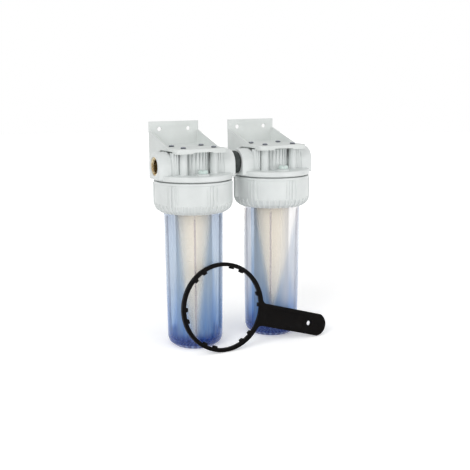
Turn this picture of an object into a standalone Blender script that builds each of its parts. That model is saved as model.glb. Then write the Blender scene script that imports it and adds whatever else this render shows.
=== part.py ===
"""Duplex water filter: two clear-bowl housings coupled in line, each on its wall bracket, and
the ring spanner.

Metres, +Z up. The ports run along X with the inlet at -X, the front faces -Y, and the bowls stand on Z = 0.
The origin lies on the floor, midway between the two housings.
"""
import math

import bmesh
import bpy
from mathutils import Matrix, Vector

# Clearances and overrun shared by every fit
GAP = 0.0003                     # between pieces that rest on, or sit in, each other
OVERRUN = 0.002                  # how far a cutter runs past the face that it opens
WELD = 0.000003                  # merge distance after a Boolean

# Cartridge
NOZZLE_RADIUS = 0.0118           # of the head's nozzle and of the bowl's spigot
CORE_CLEARANCE = 0.0019          # between the nozzle and the core
CORE_WALL = 0.0018
CORE_RADIUS = NOZZLE_RADIUS + CORE_CLEARANCE + CORE_WALL
MEDIA_RADIUS = 0.0300
MEDIA_LENGTH = 0.2425
GASKET_INSET = 0.0015            # inside the media's radius
GASKET_THICKNESS = 0.0030
GASKET_CLEARANCE = 0.0008

# Bowl
BOWL_TOP_RADIUS = 0.0486
BOWL_BASE_RADIUS = 0.0458
BOWL_WALL = 0.0040
BOWL_HEEL_HEIGHT = 0.0140        # where the side wall starts
BOWL_HEEL_INSET = 0.0020         # of the heel's middle, inside the base radius
BOWL_HEEL_LIFT = 0.0070
BOWL_FOOT_INSET = 0.0100         # of the foot's edge, inside the base radius
BOWL_FOOT_WIDTH = 0.0060
BOWL_FOOT_RECESS = 0.0040
BOWL_FLOOR_HEIGHT = 0.0120       # inside floor
BOWL_FLOOR_FILLET = 0.0040
BOWL_SPIGOT_HEIGHT = 0.0080
BOWL_RIB_WIDTH = 0.0026
BOWL_RIB_HEIGHT = 0.0030
BOWL_RIB_COUNT = 4
BOWL_RIB_START = 0.0080          # above the inside floor
BOWL_RIB_END = 0.0145            # below the rim's underside
BOWL_STEPS = 36
BOWL_TURN = {"left": 22.0, "right": 31.5}      # degrees, where the front rib faces, from -Y towards -X
RIM_WIDTH = 0.0074               # beyond the wall's top radius
RIM_THICKNESS = 0.0078
RIM_BORE_INSET = 0.0038          # inside the wall's top radius
CARTRIDGE_STAND = 0.0284         # of the cartridge above the rim's underside

# Seal between bowl and head
RING_SEAL_SECTION = 0.0034       # diameter of the section
RING_SEAL_INSET = 0.0038         # inside the rim's edge
SEAL_GROOVE_DEPTH = 0.0028

# Ring nut
THREAD_PITCH = 0.0050
THREAD_TURNS = 2.5
NUT_THREAD_START_TURNS = 1.5      # from the skirt's foot, half a turn past the head's own thread
NUT_THREAD_TURNS = 1.5
THREAD_HEIGHT = 0.0018
THREAD_BASE = 0.0024
THREAD_CLEARANCE = 0.0006        # between a thread's crest and the wall that it faces
THREAD_STEPS = 20                # per turn
NUT_SHOULDER_THICKNESS = 0.0082
NUT_OPENING_CLEARANCE = 0.0008
NUT_TOP_GAP = 0.0022             # shows as the dark line under the flange
NUT_WALL = 0.0044
NUT_LUG_HEIGHT = 0.0015
NUT_BAND_RISE = 0.0009           # of the top band above the panels
NUT_BAND_HEIGHT = 0.0035
NUT_BAND_CHAMFER = 0.0010
NUT_SHOULDER_HEIGHT = 0.0140     # of the sloping, ribbed foot of the nut
NUT_MID_RADIUS_SHARE = 0.68      # the slope's middle point, from the foot's edge to the panel
NUT_MID_HEIGHT_SHARE = 0.39
NUT_FOOT_WIDTH = 0.0022
NUT_RIB_HEIGHT = 0.0012
NUT_LUGS = 6
NUT_LUG_HALF_ANGLE = 4.2         # degrees
NUT_LUG_FLANK_ANGLE = 0.7
NUT_RIBS_PER_PANEL = 3
NUT_TURN = {"left": -5.0, "right": -2.0}       # degrees, where a lug faces, from -Y towards -X

# Head
FLANGE_THICKNESS = 0.0084
FLANGE_EDGE = 0.0014
SKIRT_LENGTH = 0.0354
SKIRT_WALL = 0.0070
HEAD_STEPS = 40
PORT_LIFT = 0.0140               # port axis above the flange
PORT_PROUD = 0.0027              # port face beyond the flange's edge
BOSS_RADIUS = 0.0222
BOSS_LENGTH = 0.0211
BOSS_FOOT_CORNER = 0.0020
BOSS_SHELF_CLEARANCE = 0.0006    # between the top of a boss and the tops of the columns
NECK_RADIUS = 0.0200
PORT_BORE_RADIUS = 0.0115
COLUMN_RADIUS = 0.0064
COLUMN_SPREAD_X = 0.0265
COLUMN_SPREAD_Y = 0.0240
DRUM_RADIUS = 0.0246
DRUM_FIN_HEIGHT = 0.0026
DRUM_FINS = 14
DRUM_FIN_SHARE = 0.42            # of the fin pitch that is fin
INLET_DROP_OFFSET = 0.0355       # centre of the way down into the bowl
INLET_DROP_RADIUS = 0.0060
OUTLET_RISE_RADIUS = 0.0085
NOZZLE_FLANGE_WIDTH = 0.0072     # of the nozzle's base around the nozzle
NOZZLE_ENTRY = 0.0075            # reach of the nozzle into the cartridge
NOZZLE_STEPS = 20

# Brass inserts in the ports
INSERT_RADIUS = 0.0147
INSERT_WALL = 0.0026
INSERT_RECESS = 0.0012           # of its face inside the port's face
INSERT_LENGTH = 0.0180
INSERT_GROOVE_DEPTH = 0.0012
INSERT_GROOVE_WIDTH = 0.0060

# Coupling between the housings
COLLAR_RADIUS = 0.0188
COLLAR_WIDTH = 0.0086
COLLAR_EDGE = 0.0010
NIPPLE_CLEARANCE = 0.0004
NIPPLE_REACH = 0.0140
COUPLING_WALL = 0.0032
WASHER_INSET = 0.0013            # inside the collar's radius
WASHER_THICKNESS = 0.0016

# Vent
VENT_BOSS_RADIUS = 0.0098
VENT_BOSS_HEIGHT = 0.0024
VENT_BOSS_STANDOFF = 0.0025      # in front of the drum's fins
VENT_HOLE_RADIUS = 0.0026
VENT_SEAT_WIDTH = 0.0026
VENT_KNOB_RADIUS = 0.0079
VENT_KNOB_HEIGHT = 0.0056
VENT_KNOB_DOME = 0.0012
VENT_STEM_LENGTH = 0.0100
VENT_SLOT_WIDTH = 0.0014
VENT_SLOT_DEPTH = 0.0014
VENT_SEAL_SECTION = 0.0014

# Wall bracket
SHELF_THICKNESS = 0.0046
SHEET = 0.0028
BRACKET_HALF_WIDTH = 0.0449
WALL_REACH = 0.0772              # wall plane behind the housing's axis
PLATE_HEIGHT = 0.0680
PLATE_RISE = 0.0390              # plate top above the shelf top
GUSSET_RISE = 0.0244             # gusset top above the shelf top, at the plate
GUSSET_FRONT = 0.0050            # where the gusset's slope meets the shelf, in front of the axis
GUSSET_BOSS_CLEARANCE = 0.0048   # from a port boss back to where the gusset reaches below the shelf
GUSSET_FOOT_LIFT = 0.0020        # gusset's lower end above the plate's lower edge
SHELF_FRONT = 0.0420             # front edge of the shelf, in front of the axis
SHELF_CORNER = 0.0090
LIP_DEPTH = 0.0028               # of the front lip below the shelf, at the columns
LIP_NOTCH = 0.0020               # how much shallower the lip is between the columns
LIP_NOTCH_HALF_WIDTH = 0.0170
LIP_SIDE_LENGTH = 0.0190         # of the lip's return along each side
WALL_HOLE_RADIUS = 0.0036
WALL_HOLE_SPREAD = 0.0263
WALL_HOLE_DROP = 0.0126          # below the plate's top edge

# Bracket screws
SCREW_HEAD_RADIUS = 0.0042
SCREW_HEAD_HEIGHT = 0.0028
SCREW_HEAD_DOME = 0.0008
SCREW_SHANK_RADIUS = 0.0020
SCREW_LENGTH = 0.0166
SCREW_CROSS_WIDTH = 0.0012
SCREW_CROSS_LENGTH = 0.0048
SCREW_CROSS_DEPTH = 0.0014
SHELF_HOLE_CLEARANCE = 0.0006
PILOT_EXTRA = 0.0012             # pilot hole past the screw's tip

# Spanner
SPANNER_THICKNESS = 0.0072
SPANNER_RIM = 0.0061
SPANNER_LUG_CLEARANCE = 0.0023   # rim around the nut's lugs
SPANNER_TOOTH_CLEARANCE = 0.0006 # tooth tips around the nut's panels
SPANNER_TOOTH_WIDTH = 0.0068
SPANNER_TOOTH_ANGLE = 8.2        # degrees from a lug's middle to a tooth's middle
SPANNER_PHASE = 4.5              # degrees of the first pair above the level
SPANNER_HANDLE_ANGLE = -17.0     # degrees below the level
SPANNER_HANDLE_REACH = 0.2000    # ring centre to handle tip
SPANNER_HANDLE_HALF_WIDTH = 0.0188
SPANNER_END_DEPTH = 0.0137       # of the round end beyond the straight edges
SPANNER_FILLET = 0.0090
SPANNER_HOLE_RADIUS = 0.0042
SPANNER_HOLE_CHAMFER = 0.0014    # of its edge on both faces
SPANNER_HOLE_INSET = 0.0335      # hang hole back from the handle tip
SPANNER_PANEL_DEPTH = 0.0008
SPANNER_PANEL_MARGIN = 0.0060
SPANNER_PANEL_START = 0.0098     # outside the ring
SPANNER_PANEL_GAP = 0.0087       # between the panel and the hang hole
SPANNER_OFFSET = 0.0231          # ring centre to the right of the left housing's axis
SPANNER_STANDOFF = 0.0236        # ring foot in front of the bowl's base
SPANNER_STEPS = 64

# Radii and places that follow
RIM_RADIUS = BOWL_TOP_RADIUS + RIM_WIDTH
RING_SEAL_RADIUS = RIM_RADIUS - RING_SEAL_INSET
SKIRT_RADIUS = RIM_RADIUS
NUT_BORE_RADIUS = SKIRT_RADIUS + THREAD_HEIGHT + THREAD_CLEARANCE
NUT_PANEL_RADIUS = NUT_BORE_RADIUS + NUT_WALL
NUT_LUG_RADIUS = NUT_PANEL_RADIUS + NUT_LUG_HEIGHT
FLANGE_RADIUS = NUT_LUG_RADIUS
PORT_REACH = FLANGE_RADIUS + PORT_PROUD
HALF_JOINT = COLLAR_WIDTH / 2 + WASHER_THICKNESS + 2 * GAP
SPACING = 2 * (PORT_REACH + HALF_JOINT)
COLUMN_HEIGHT = PORT_LIFT + BOSS_RADIUS + BOSS_SHELF_CLEARANCE
INSERT_BORE_RADIUS = INSERT_RADIUS - INSERT_WALL
VENT_OFFSET = DRUM_RADIUS + DRUM_FIN_HEIGHT + VENT_BOSS_STANDOFF + VENT_BOSS_RADIUS
VENT_SEAT_DEPTH = VENT_SEAL_SECTION + GAP
SPANNER_FOOT_REACH = BOWL_BASE_RADIUS + SPANNER_STANDOFF
SPANNER_CENTRE_X = SPANNER_OFFSET - SPACING / 2
COLUMN_PLACES = [(x * COLUMN_SPREAD_X, y * COLUMN_SPREAD_Y) for y in (-1, 1) for x in (-1, 1)]
SIDES = {"left": -1, "right": 1}

# Heights that follow from the stack
CARTRIDGE_FOOT = BOWL_FLOOR_HEIGHT + GAP
MEDIA_FOOT = CARTRIDGE_FOOT + GASKET_THICKNESS + GAP
MEDIA_TOP = MEDIA_FOOT + MEDIA_LENGTH
TOP_GASKET_FOOT = MEDIA_TOP + GAP
CARTRIDGE_TOP = TOP_GASKET_FOOT + GASKET_THICKNESS
RIM_UNDERSIDE = CARTRIDGE_TOP - CARTRIDGE_STAND
RIM_TOP = RIM_UNDERSIDE + RIM_THICKNESS
SKIRT_FOOT = RIM_TOP - SEAL_GROOVE_DEPTH + RING_SEAL_SECTION + 2 * GAP
FLANGE_FOOT = SKIRT_FOOT + SKIRT_LENGTH
FLANGE_TOP = FLANGE_FOOT + FLANGE_THICKNESS
PORT_HEIGHT = FLANGE_TOP + PORT_LIFT
HEAD_TOP = FLANGE_TOP + COLUMN_HEIGHT
SHELF_FOOT = HEAD_TOP + GAP
SHELF_TOP = SHELF_FOOT + SHELF_THICKNESS
NUT_SEAT = RIM_UNDERSIDE - GAP
NUT_FOOT = NUT_SEAT - NUT_SHOULDER_THICKNESS
NUT_TOP = FLANGE_FOOT - NUT_TOP_GAP


# Building blocks

def clear_scene():
    for thing in list(bpy.data.objects):
        bpy.data.objects.remove(thing, do_unlink=True)


def make_material(name, colour, roughness, metallic=0.0, alpha=1.0):
    material = bpy.data.materials.new(name)
    material.use_nodes = True
    shader = material.node_tree.nodes["Principled BSDF"]
    shader.inputs["Base Color"].default_value = (*colour, 1.0)
    shader.inputs["Roughness"].default_value = roughness
    shader.inputs["Metallic"].default_value = metallic
    shader.inputs["Alpha"].default_value = alpha
    return material


def object_from(bm, name, material=None, smooth=35.0):
    """One object from a bmesh, with its faces turned outwards."""
    bmesh.ops.recalc_face_normals(bm, faces=bm.faces)
    mesh = bpy.data.meshes.new(name)
    bm.to_mesh(mesh)
    bm.free()
    if smooth:
        mesh.shade_smooth()
        mesh.set_sharp_from_angle(angle=math.radians(smooth))
    thing = bpy.data.objects.new(name, mesh)
    bpy.context.scene.collection.objects.link(thing)
    if material:
        mesh.materials.append(material)
    return thing


def grid_solid(rings, closed_profile):
    """A solid from rings of points; a ring of one point is a pole, and a closed profile joins its ends."""
    bm = bmesh.new()
    rows = [[bm.verts.new(point) for point in ring] for ring in rings]
    pairs = list(zip(rows, rows[1:]))
    if closed_profile:
        pairs.append((rows[-1], rows[0]))
    for upper, lower in pairs:
        count = max(len(upper), len(lower))
        for i in range(count):
            j = (i + 1) % count
            corners = [upper[i % len(upper)], upper[j % len(upper)]]
            corners += [lower[j % len(lower)], lower[i % len(lower)]]
            distinct = [c for k, c in enumerate(corners) if c is not corners[k - 1]]
            if len(distinct) > 2:
                bm.faces.new(distinct)
    return bm


def turned(profile, steps, closed_profile=False):
    """A solid turned about Z from (radius, height) points; an open profile starts and ends on the axis."""
    rings = []
    for radius, height in profile:
        if radius == 0:
            rings.append([(0, 0, height)])
        else:
            angles = [2 * math.pi * i / steps for i in range(steps)]
            rings.append([(radius * math.cos(a), radius * math.sin(a), height) for a in angles])
    return grid_solid(rings, closed_profile)


def rod(radius, foot, top, steps=24):
    return turned([(0, foot), (radius, foot), (radius, top), (0, top)], steps)


def box(low, high):
    bm = bmesh.new()
    bmesh.ops.create_cube(bm, size=1.0)
    middle = (Vector(low) + Vector(high)) / 2
    size = Vector(high) - Vector(low)
    bm.transform(Matrix.Translation(middle) @ Matrix.Diagonal((*size, 1.0)))
    return bm


def prism(outline, start, end):
    """An outline in the XY plane, extruded from one height to another."""
    bm = bmesh.new()
    bottom = [bm.verts.new((x, y, start)) for x, y in outline]
    top = [bm.verts.new((x, y, end)) for x, y in outline]
    bm.faces.new(bottom)
    bm.faces.new(top)
    for i in range(len(outline)):
        j = (i + 1) % len(outline)
        bm.faces.new([bottom[i], bottom[j], top[j], top[i]])
    return bm


def arc(centre, radius, start, end, count):
    """Points along an arc, both ends included, angles in degrees."""
    points = []
    for i in range(count + 1):
        angle = math.radians(start + (end - start) * i / count)
        points.append((centre[0] + radius * math.cos(angle), centre[1] + radius * math.sin(angle)))
    return points


def moved(bm, offset=(0, 0, 0), turn=0.0, axis="Z"):
    bm.transform(Matrix.Translation(offset) @ Matrix.Rotation(math.radians(turn), 4, axis))
    return bm


def along_x(bm):
    """Turns a solid made along Z so that it lies along X."""
    return moved(bm, turn=90.0, axis="Y")


def combine(target, parts, operation):
    """Boolean of the target with each bmesh in turn, applied to the target's mesh."""
    for i, bm in enumerate(parts):
        tool = object_from(bm, f"{target.name}_tool_{i}", smooth=None)
        modifier = target.modifiers.new("combine", "BOOLEAN")
        modifier.operation = operation
        modifier.solver = "EXACT"
        modifier.object = tool
        bpy.context.view_layer.update()
        evaluated = target.evaluated_get(bpy.context.evaluated_depsgraph_get())
        mesh = bpy.data.meshes.new_from_object(evaluated)
        target.modifiers.clear()
        old = target.data
        target.data = mesh
        bpy.data.meshes.remove(old)
        bpy.data.objects.remove(tool, do_unlink=True)
    return target


def finish(thing, material, smooth=35.0):
    """Cleans a mesh after Booleans: welds doubles, melts flat edges and shades round faces smooth."""
    bm = bmesh.new()
    bm.from_mesh(thing.data)
    bmesh.ops.remove_doubles(bm, verts=bm.verts, dist=WELD)
    bmesh.ops.dissolve_limit(bm, angle_limit=math.radians(0.5), verts=bm.verts, edges=bm.edges)
    bmesh.ops.triangulate(bm, faces=[f for f in bm.faces if len(f.verts) > 4])
    bm.to_mesh(thing.data)
    bm.free()
    thing.data.materials.clear()
    thing.data.materials.append(material)
    thing.data.shade_smooth()
    thing.data.set_sharp_from_angle(angle=math.radians(smooth))
    return thing


def helix_ridge(root_radius, crest_radius, base, start, turns):
    """A right-handed V ridge wound about Z, its base on the root radius."""
    count = int(THREAD_STEPS * turns)
    rings = []
    for i in range(count + 1):
        angle = 2 * math.pi * i / THREAD_STEPS
        height = start + THREAD_PITCH * i / THREAD_STEPS
        section = [(root_radius, -base / 2), (crest_radius, 0), (root_radius, base / 2)]
        rings.append([(r * math.cos(angle), r * math.sin(angle), height + z) for r, z in section])
    bm = grid_solid(rings, False)
    bm.verts.ensure_lookup_table()
    bm.faces.new(bm.verts[:3])
    bm.faces.new(bm.verts[-3:])
    return bm


# Housing pieces, made about the housing's own axis

def bowl_outer_radius(height):
    """Outer radius of the tapered wall at a height."""
    share = (height - BOWL_HEEL_HEIGHT) / (RIM_UNDERSIDE - BOWL_HEEL_HEIGHT)
    return BOWL_BASE_RADIUS + (BOWL_TOP_RADIUS - BOWL_BASE_RADIUS) * share


def make_bowl(name, material, turn):
    groove_out = RING_SEAL_RADIUS + RING_SEAL_SECTION / 2 + GAP
    groove_in = RING_SEAL_RADIUS - RING_SEAL_SECTION / 2 - GAP
    wall_foot = BOWL_FLOOR_HEIGHT + BOWL_FLOOR_FILLET
    floor_radius = bowl_outer_radius(wall_foot) - BOWL_WALL
    foot_radius = BOWL_BASE_RADIUS - BOWL_FOOT_INSET
    foot_bore = foot_radius - BOWL_FOOT_WIDTH
    rim_bore = BOWL_TOP_RADIUS - RIM_BORE_INSET
    profile = [
        (0, BOWL_FOOT_RECESS), (foot_bore - BOWL_FOOT_RECESS, BOWL_FOOT_RECESS), (foot_bore, 0),
        (foot_radius, 0), (BOWL_BASE_RADIUS - BOWL_HEEL_INSET, BOWL_HEEL_LIFT),
        (BOWL_BASE_RADIUS, BOWL_HEEL_HEIGHT),
        (BOWL_TOP_RADIUS, RIM_UNDERSIDE), (RIM_RADIUS, RIM_UNDERSIDE), (RIM_RADIUS, RIM_TOP),
        (groove_out, RIM_TOP), (groove_out, RIM_TOP - SEAL_GROOVE_DEPTH),
        (groove_in, RIM_TOP - SEAL_GROOVE_DEPTH), (groove_in, RIM_TOP), (rim_bore, RIM_TOP),
        (BOWL_TOP_RADIUS - BOWL_WALL, RIM_UNDERSIDE), (floor_radius, wall_foot),
        (floor_radius - BOWL_FLOOR_FILLET, BOWL_FLOOR_HEIGHT), (NOZZLE_RADIUS, BOWL_FLOOR_HEIGHT),
        (NOZZLE_RADIUS - GAP, BOWL_FLOOR_HEIGHT + BOWL_SPIGOT_HEIGHT),
        (0, BOWL_FLOOR_HEIGHT + BOWL_SPIGOT_HEIGHT),
    ]
    bowl = object_from(turned(profile, BOWL_STEPS), name)
    rib_foot = BOWL_FLOOR_HEIGHT + BOWL_RIB_START
    rib_top = RIM_UNDERSIDE - BOWL_RIB_END
    foot_face = bowl_outer_radius(rib_foot) - BOWL_WALL / 2
    top_face = bowl_outer_radius(rib_top) - BOWL_WALL / 2
    reach = BOWL_WALL / 2 + BOWL_RIB_HEIGHT
    outline = [
        (foot_face, rib_foot), (top_face, rib_top),
        (top_face - reach, rib_top - BOWL_RIB_HEIGHT), (foot_face - reach, rib_foot),
    ]
    for i in range(BOWL_RIB_COUNT):
        rib = prism(outline, -BOWL_RIB_WIDTH / 2, BOWL_RIB_WIDTH / 2)
        moved(rib, turn=90.0, axis="X")
        moved(rib, turn=-90.0 - turn + 360.0 * i / BOWL_RIB_COUNT)
        combine(bowl, [rib], "UNION")
    return finish(bowl, material)


def make_ring_seal(name, material):
    middle = RIM_TOP - SEAL_GROOVE_DEPTH + GAP + RING_SEAL_SECTION / 2
    return object_from(torus(RING_SEAL_RADIUS, RING_SEAL_SECTION, middle, 30, 6), name, material)


def torus(radius, section, middle, steps, sides):
    """A ring of round section about Z, flat at its top and foot."""
    flat = math.cos(math.pi / sides)
    points = []
    for i in range(sides):
        angle = 2 * math.pi * (i + 0.5) / sides - math.pi / 2
        points.append((radius + section / 2 * math.cos(angle), middle + section / 2 / flat * math.sin(angle)))
    return turned(points, steps, closed_profile=True)


def nut_sector():
    """Angles round one lug and one panel, in degrees, each with its form: flank, lug, rib or valley."""
    low = NUT_LUG_HALF_ANGLE + NUT_LUG_FLANK_ANGLE
    points = [(-low, "flank"), (-NUT_LUG_HALF_ANGLE, "lug"), (NUT_LUG_HALF_ANGLE, "lug"), (low, "flank")]
    panel = 360.0 / NUT_LUGS - 2 * low
    for i in range(2 * NUT_RIBS_PER_PANEL):
        angle = low + panel * (i + 1) / (2 * NUT_RIBS_PER_PANEL + 1)
        points.append((angle, "rib" if i % 2 == 0 else "valley"))
    return points


def make_nut(name, material, turn):
    opening = BOWL_TOP_RADIUS + NUT_OPENING_CLEARANCE
    bore = NUT_BORE_RADIUS
    foot_radius = opening + NUT_FOOT_WIDTH
    band = NUT_PANEL_RADIUS + NUT_BAND_RISE
    shoulder = NUT_FOOT + NUT_SHOULDER_HEIGHT
    middle = NUT_FOOT + NUT_SHOULDER_HEIGHT * NUT_MID_HEIGHT_SHARE
    middle_radius = foot_radius + (NUT_PANEL_RADIUS - foot_radius) * NUT_MID_RADIUS_SHARE
    columns = []
    for lug in range(NUT_LUGS):
        columns += [(angle + 360.0 * lug / NUT_LUGS, form) for angle, form in nut_sector()]

    def ring(height, plain, lug=None, rib=0.0):
        radii = {"flank": plain, "valley": plain, "lug": lug or plain, "rib": plain + rib}
        points = []
        for angle, form in columns:
            a = math.radians(angle - 90.0 - turn)
            points.append((radii[form] * math.cos(a), radii[form] * math.sin(a), height))
        return points

    rings = [
        ring(NUT_TOP, bore), ring(NUT_TOP, band - NUT_BAND_CHAMFER), ring(NUT_TOP - NUT_BAND_CHAMFER, band),
        ring(NUT_TOP - NUT_BAND_HEIGHT, band, NUT_LUG_RADIUS),
        ring(NUT_TOP - NUT_BAND_HEIGHT - NUT_BAND_CHAMFER, NUT_PANEL_RADIUS, NUT_LUG_RADIUS),
        ring(shoulder, NUT_PANEL_RADIUS, NUT_LUG_RADIUS),
        ring(middle, middle_radius, middle_radius, NUT_RIB_HEIGHT),
        ring(NUT_FOOT, foot_radius, foot_radius, NUT_RIB_HEIGHT),
        ring(NUT_FOOT, opening), ring(NUT_SEAT, opening), ring(NUT_SEAT, bore),
    ]
    nut = object_from(grid_solid(rings, True), name)
    crest = SKIRT_RADIUS + 2 * THREAD_CLEARANCE
    start = SKIRT_FOOT + THREAD_PITCH * NUT_THREAD_START_TURNS
    ridge = helix_ridge(bore + THREAD_HEIGHT / 2, crest, THREAD_BASE, start, NUT_THREAD_TURNS)
    combine(nut, [ridge], "UNION")
    return finish(nut, material)


def make_gasket(name, material, foot):
    bore = NOZZLE_RADIUS + GASKET_CLEARANCE
    profile = [
        (bore, foot), (MEDIA_RADIUS - GASKET_INSET, foot),
        (MEDIA_RADIUS - GASKET_INSET, foot + GASKET_THICKNESS), (bore, foot + GASKET_THICKNESS),
    ]
    return object_from(turned(profile, 24, closed_profile=True), name, material)


def make_tube(name, material, bore, radius, foot, top, steps):
    profile = [(bore, foot), (radius, foot), (radius, top), (bore, top)]
    return object_from(turned(profile, steps, closed_profile=True), name, material)


def drum_outline():
    """Plan of the finned drum."""
    points = []
    pitch = 360.0 / DRUM_FINS
    for i in range(DRUM_FINS):
        middle = i * pitch
        half = pitch * DRUM_FIN_SHARE / 2
        steps = [(-half, DRUM_FIN_HEIGHT), (half, DRUM_FIN_HEIGHT), (half, 0), (pitch - half, 0)]
        for angle, extra in steps:
            a = math.radians(middle + angle)
            points.append(((DRUM_RADIUS + extra) * math.cos(a), (DRUM_RADIUS + extra) * math.sin(a)))
    return points


def boss_outline():
    """Face of a port boss: round on top, straight sides down to just above the flange's foot."""
    foot = FLANGE_FOOT + FLANGE_EDGE - PORT_HEIGHT
    corner = BOSS_FOOT_CORNER
    points = arc((0, 0), BOSS_RADIUS, 0, 180, 16)
    points += [(-BOSS_RADIUS, foot + corner)]
    points += arc((-BOSS_RADIUS + corner, foot + corner), corner, 180, 270, 2)[1:]
    points += arc((BOSS_RADIUS - corner, foot + corner), corner, 270, 360, 2)
    return points


def make_head(name, material):
    skirt_bore = SKIRT_RADIUS - SKIRT_WALL
    profile = [
        (0, FLANGE_FOOT), (skirt_bore, FLANGE_FOOT), (skirt_bore, SKIRT_FOOT), (SKIRT_RADIUS, SKIRT_FOOT),
        (SKIRT_RADIUS, FLANGE_FOOT), (FLANGE_RADIUS, FLANGE_FOOT), (FLANGE_RADIUS, FLANGE_TOP - FLANGE_EDGE),
        (FLANGE_RADIUS - FLANGE_EDGE, FLANGE_TOP), (0, FLANGE_TOP),
    ]
    sunk = FLANGE_THICKNESS / 2
    nozzle_foot = CARTRIDGE_TOP - NOZZLE_ENTRY
    base_foot = CARTRIDGE_TOP + GAP
    base_radius = NOZZLE_RADIUS + NOZZLE_FLANGE_WIDTH
    nozzle = [
        (0, nozzle_foot), (NOZZLE_RADIUS, nozzle_foot), (NOZZLE_RADIUS, base_foot),
        (base_radius, base_foot), (base_radius, FLANGE_FOOT + sunk), (0, FLANGE_FOOT + sunk),
    ]
    head = object_from(turned(profile, HEAD_STEPS), name)
    combine(head, [moved(turned(nozzle, NOZZLE_STEPS), turn=90.0 / HEAD_STEPS)], "UNION")
    thread_start = SKIRT_FOOT + THREAD_PITCH
    thread = helix_ridge(SKIRT_RADIUS - THREAD_HEIGHT / 2, SKIRT_RADIUS + THREAD_HEIGHT, THREAD_BASE,
                         thread_start, THREAD_TURNS)
    combine(head, [thread], "UNION")
    combine(head, [prism(drum_outline(), FLANGE_TOP - sunk, HEAD_TOP)], "UNION")
    for x, y in COLUMN_PLACES:
        column = moved(rod(COLUMN_RADIUS, FLANGE_TOP - sunk, HEAD_TOP, 14), (x, y, 0))
        combine(head, [column], "UNION")
    neck_reach = PORT_REACH - BOSS_LENGTH / 2
    neck = moved(along_x(rod(NECK_RADIUS, -neck_reach, neck_reach, 20)), (0, 0, PORT_HEIGHT))
    combine(head, [neck], "UNION")
    for side in (-1, 1):
        boss = prism(boss_outline(), PORT_REACH - BOSS_LENGTH, PORT_REACH)
        moved(boss, turn=90.0, axis="X")
        moved(boss, (0, 0, PORT_HEIGHT), turn=side * 90.0)
        combine(head, [boss], "UNION")
    vent_boss = rod(VENT_BOSS_RADIUS, FLANGE_TOP - sunk, FLANGE_TOP + VENT_BOSS_HEIGHT, 20)
    combine(head, [moved(vent_boss, (0, -VENT_OFFSET, 0))], "UNION")
    combine(head, head_cuts(), "DIFFERENCE")
    return finish(head, material)


def head_cuts():
    """The waterways, the seats of the inserts and of the vent, and the screws' pilot holes."""
    cuts = []
    drop = rod(INLET_DROP_RADIUS, FLANGE_FOOT - OVERRUN, PORT_HEIGHT, 16)
    cuts.append(moved(drop, (-INLET_DROP_OFFSET, 0, 0)))
    cuts.append(rod(OUTLET_RISE_RADIUS, CARTRIDGE_TOP - NOZZLE_ENTRY - OVERRUN, PORT_HEIGHT, 20))
    seat_end = PORT_REACH - INSERT_RECESS - INSERT_LENGTH - GAP
    bore_ends = {-1: INLET_DROP_OFFSET - PORT_BORE_RADIUS, 1: -PORT_BORE_RADIUS}
    for side, bore_end in bore_ends.items():
        stepped = [
            (0, bore_end), (PORT_BORE_RADIUS, bore_end), (PORT_BORE_RADIUS, seat_end),
            (INSERT_RADIUS + GAP, seat_end), (INSERT_RADIUS + GAP, PORT_REACH + OVERRUN),
            (0, PORT_REACH + OVERRUN),
        ]
        way = moved(turned(stepped, 20), turn=side * 90.0, axis="Y")
        cuts.append(moved(way, (0, 0, PORT_HEIGHT)))
    vent_top = FLANGE_TOP + VENT_BOSS_HEIGHT
    seat_radius, seat_foot = VENT_HOLE_RADIUS + VENT_SEAT_WIDTH, vent_top - VENT_SEAT_DEPTH
    vent = [
        (0, FLANGE_FOOT - OVERRUN), (VENT_HOLE_RADIUS, FLANGE_FOOT - OVERRUN), (VENT_HOLE_RADIUS, seat_foot),
        (seat_radius, seat_foot), (seat_radius, vent_top + OVERRUN), (0, vent_top + OVERRUN),
    ]
    cuts.append(moved(turned(vent, 16), (0, -VENT_OFFSET, 0)))
    tip = SHELF_TOP + GAP - SCREW_LENGTH
    for x, y in COLUMN_PLACES:
        pilot = rod(SCREW_SHANK_RADIUS + GAP, tip - PILOT_EXTRA, HEAD_TOP + OVERRUN, 10)
        cuts.append(moved(pilot, (x, y, 0)))
    return cuts


def make_insert(name, material):
    """Brass sleeve, its face at 0 and its body towards +Z; the groove holds it in the moulding."""
    root = INSERT_RADIUS - INSERT_GROOVE_DEPTH
    near = (INSERT_LENGTH - INSERT_GROOVE_WIDTH) / 2
    far = near + INSERT_GROOVE_WIDTH
    profile = [
        (INSERT_BORE_RADIUS, 0), (INSERT_RADIUS, 0), (INSERT_RADIUS, near), (root, near),
        (root, far), (INSERT_RADIUS, far), (INSERT_RADIUS, INSERT_LENGTH),
        (INSERT_BORE_RADIUS, INSERT_LENGTH),
    ]
    return object_from(turned(profile, 20, closed_profile=True), name, material)


def make_vent_screw(name, material):
    """Knob and stem of the vent, its axis on Z and the knob's seat at 0."""
    stem_radius = VENT_HOLE_RADIUS - GAP
    profile = [
        (0, -VENT_STEM_LENGTH), (stem_radius, -VENT_STEM_LENGTH), (stem_radius, 0), (VENT_KNOB_RADIUS, 0),
        (VENT_KNOB_RADIUS, VENT_KNOB_HEIGHT - VENT_KNOB_DOME),
        (VENT_KNOB_RADIUS - VENT_KNOB_DOME, VENT_KNOB_HEIGHT), (0, VENT_KNOB_HEIGHT),
    ]
    knob = object_from(turned(profile, 16), name)
    slot = box((-VENT_KNOB_RADIUS - OVERRUN, -VENT_SLOT_WIDTH / 2, VENT_KNOB_HEIGHT - VENT_SLOT_DEPTH),
               (VENT_KNOB_RADIUS + OVERRUN, VENT_SLOT_WIDTH / 2, VENT_KNOB_HEIGHT + OVERRUN))
    combine(knob, [slot], "DIFFERENCE")
    return finish(knob, material)


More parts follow.
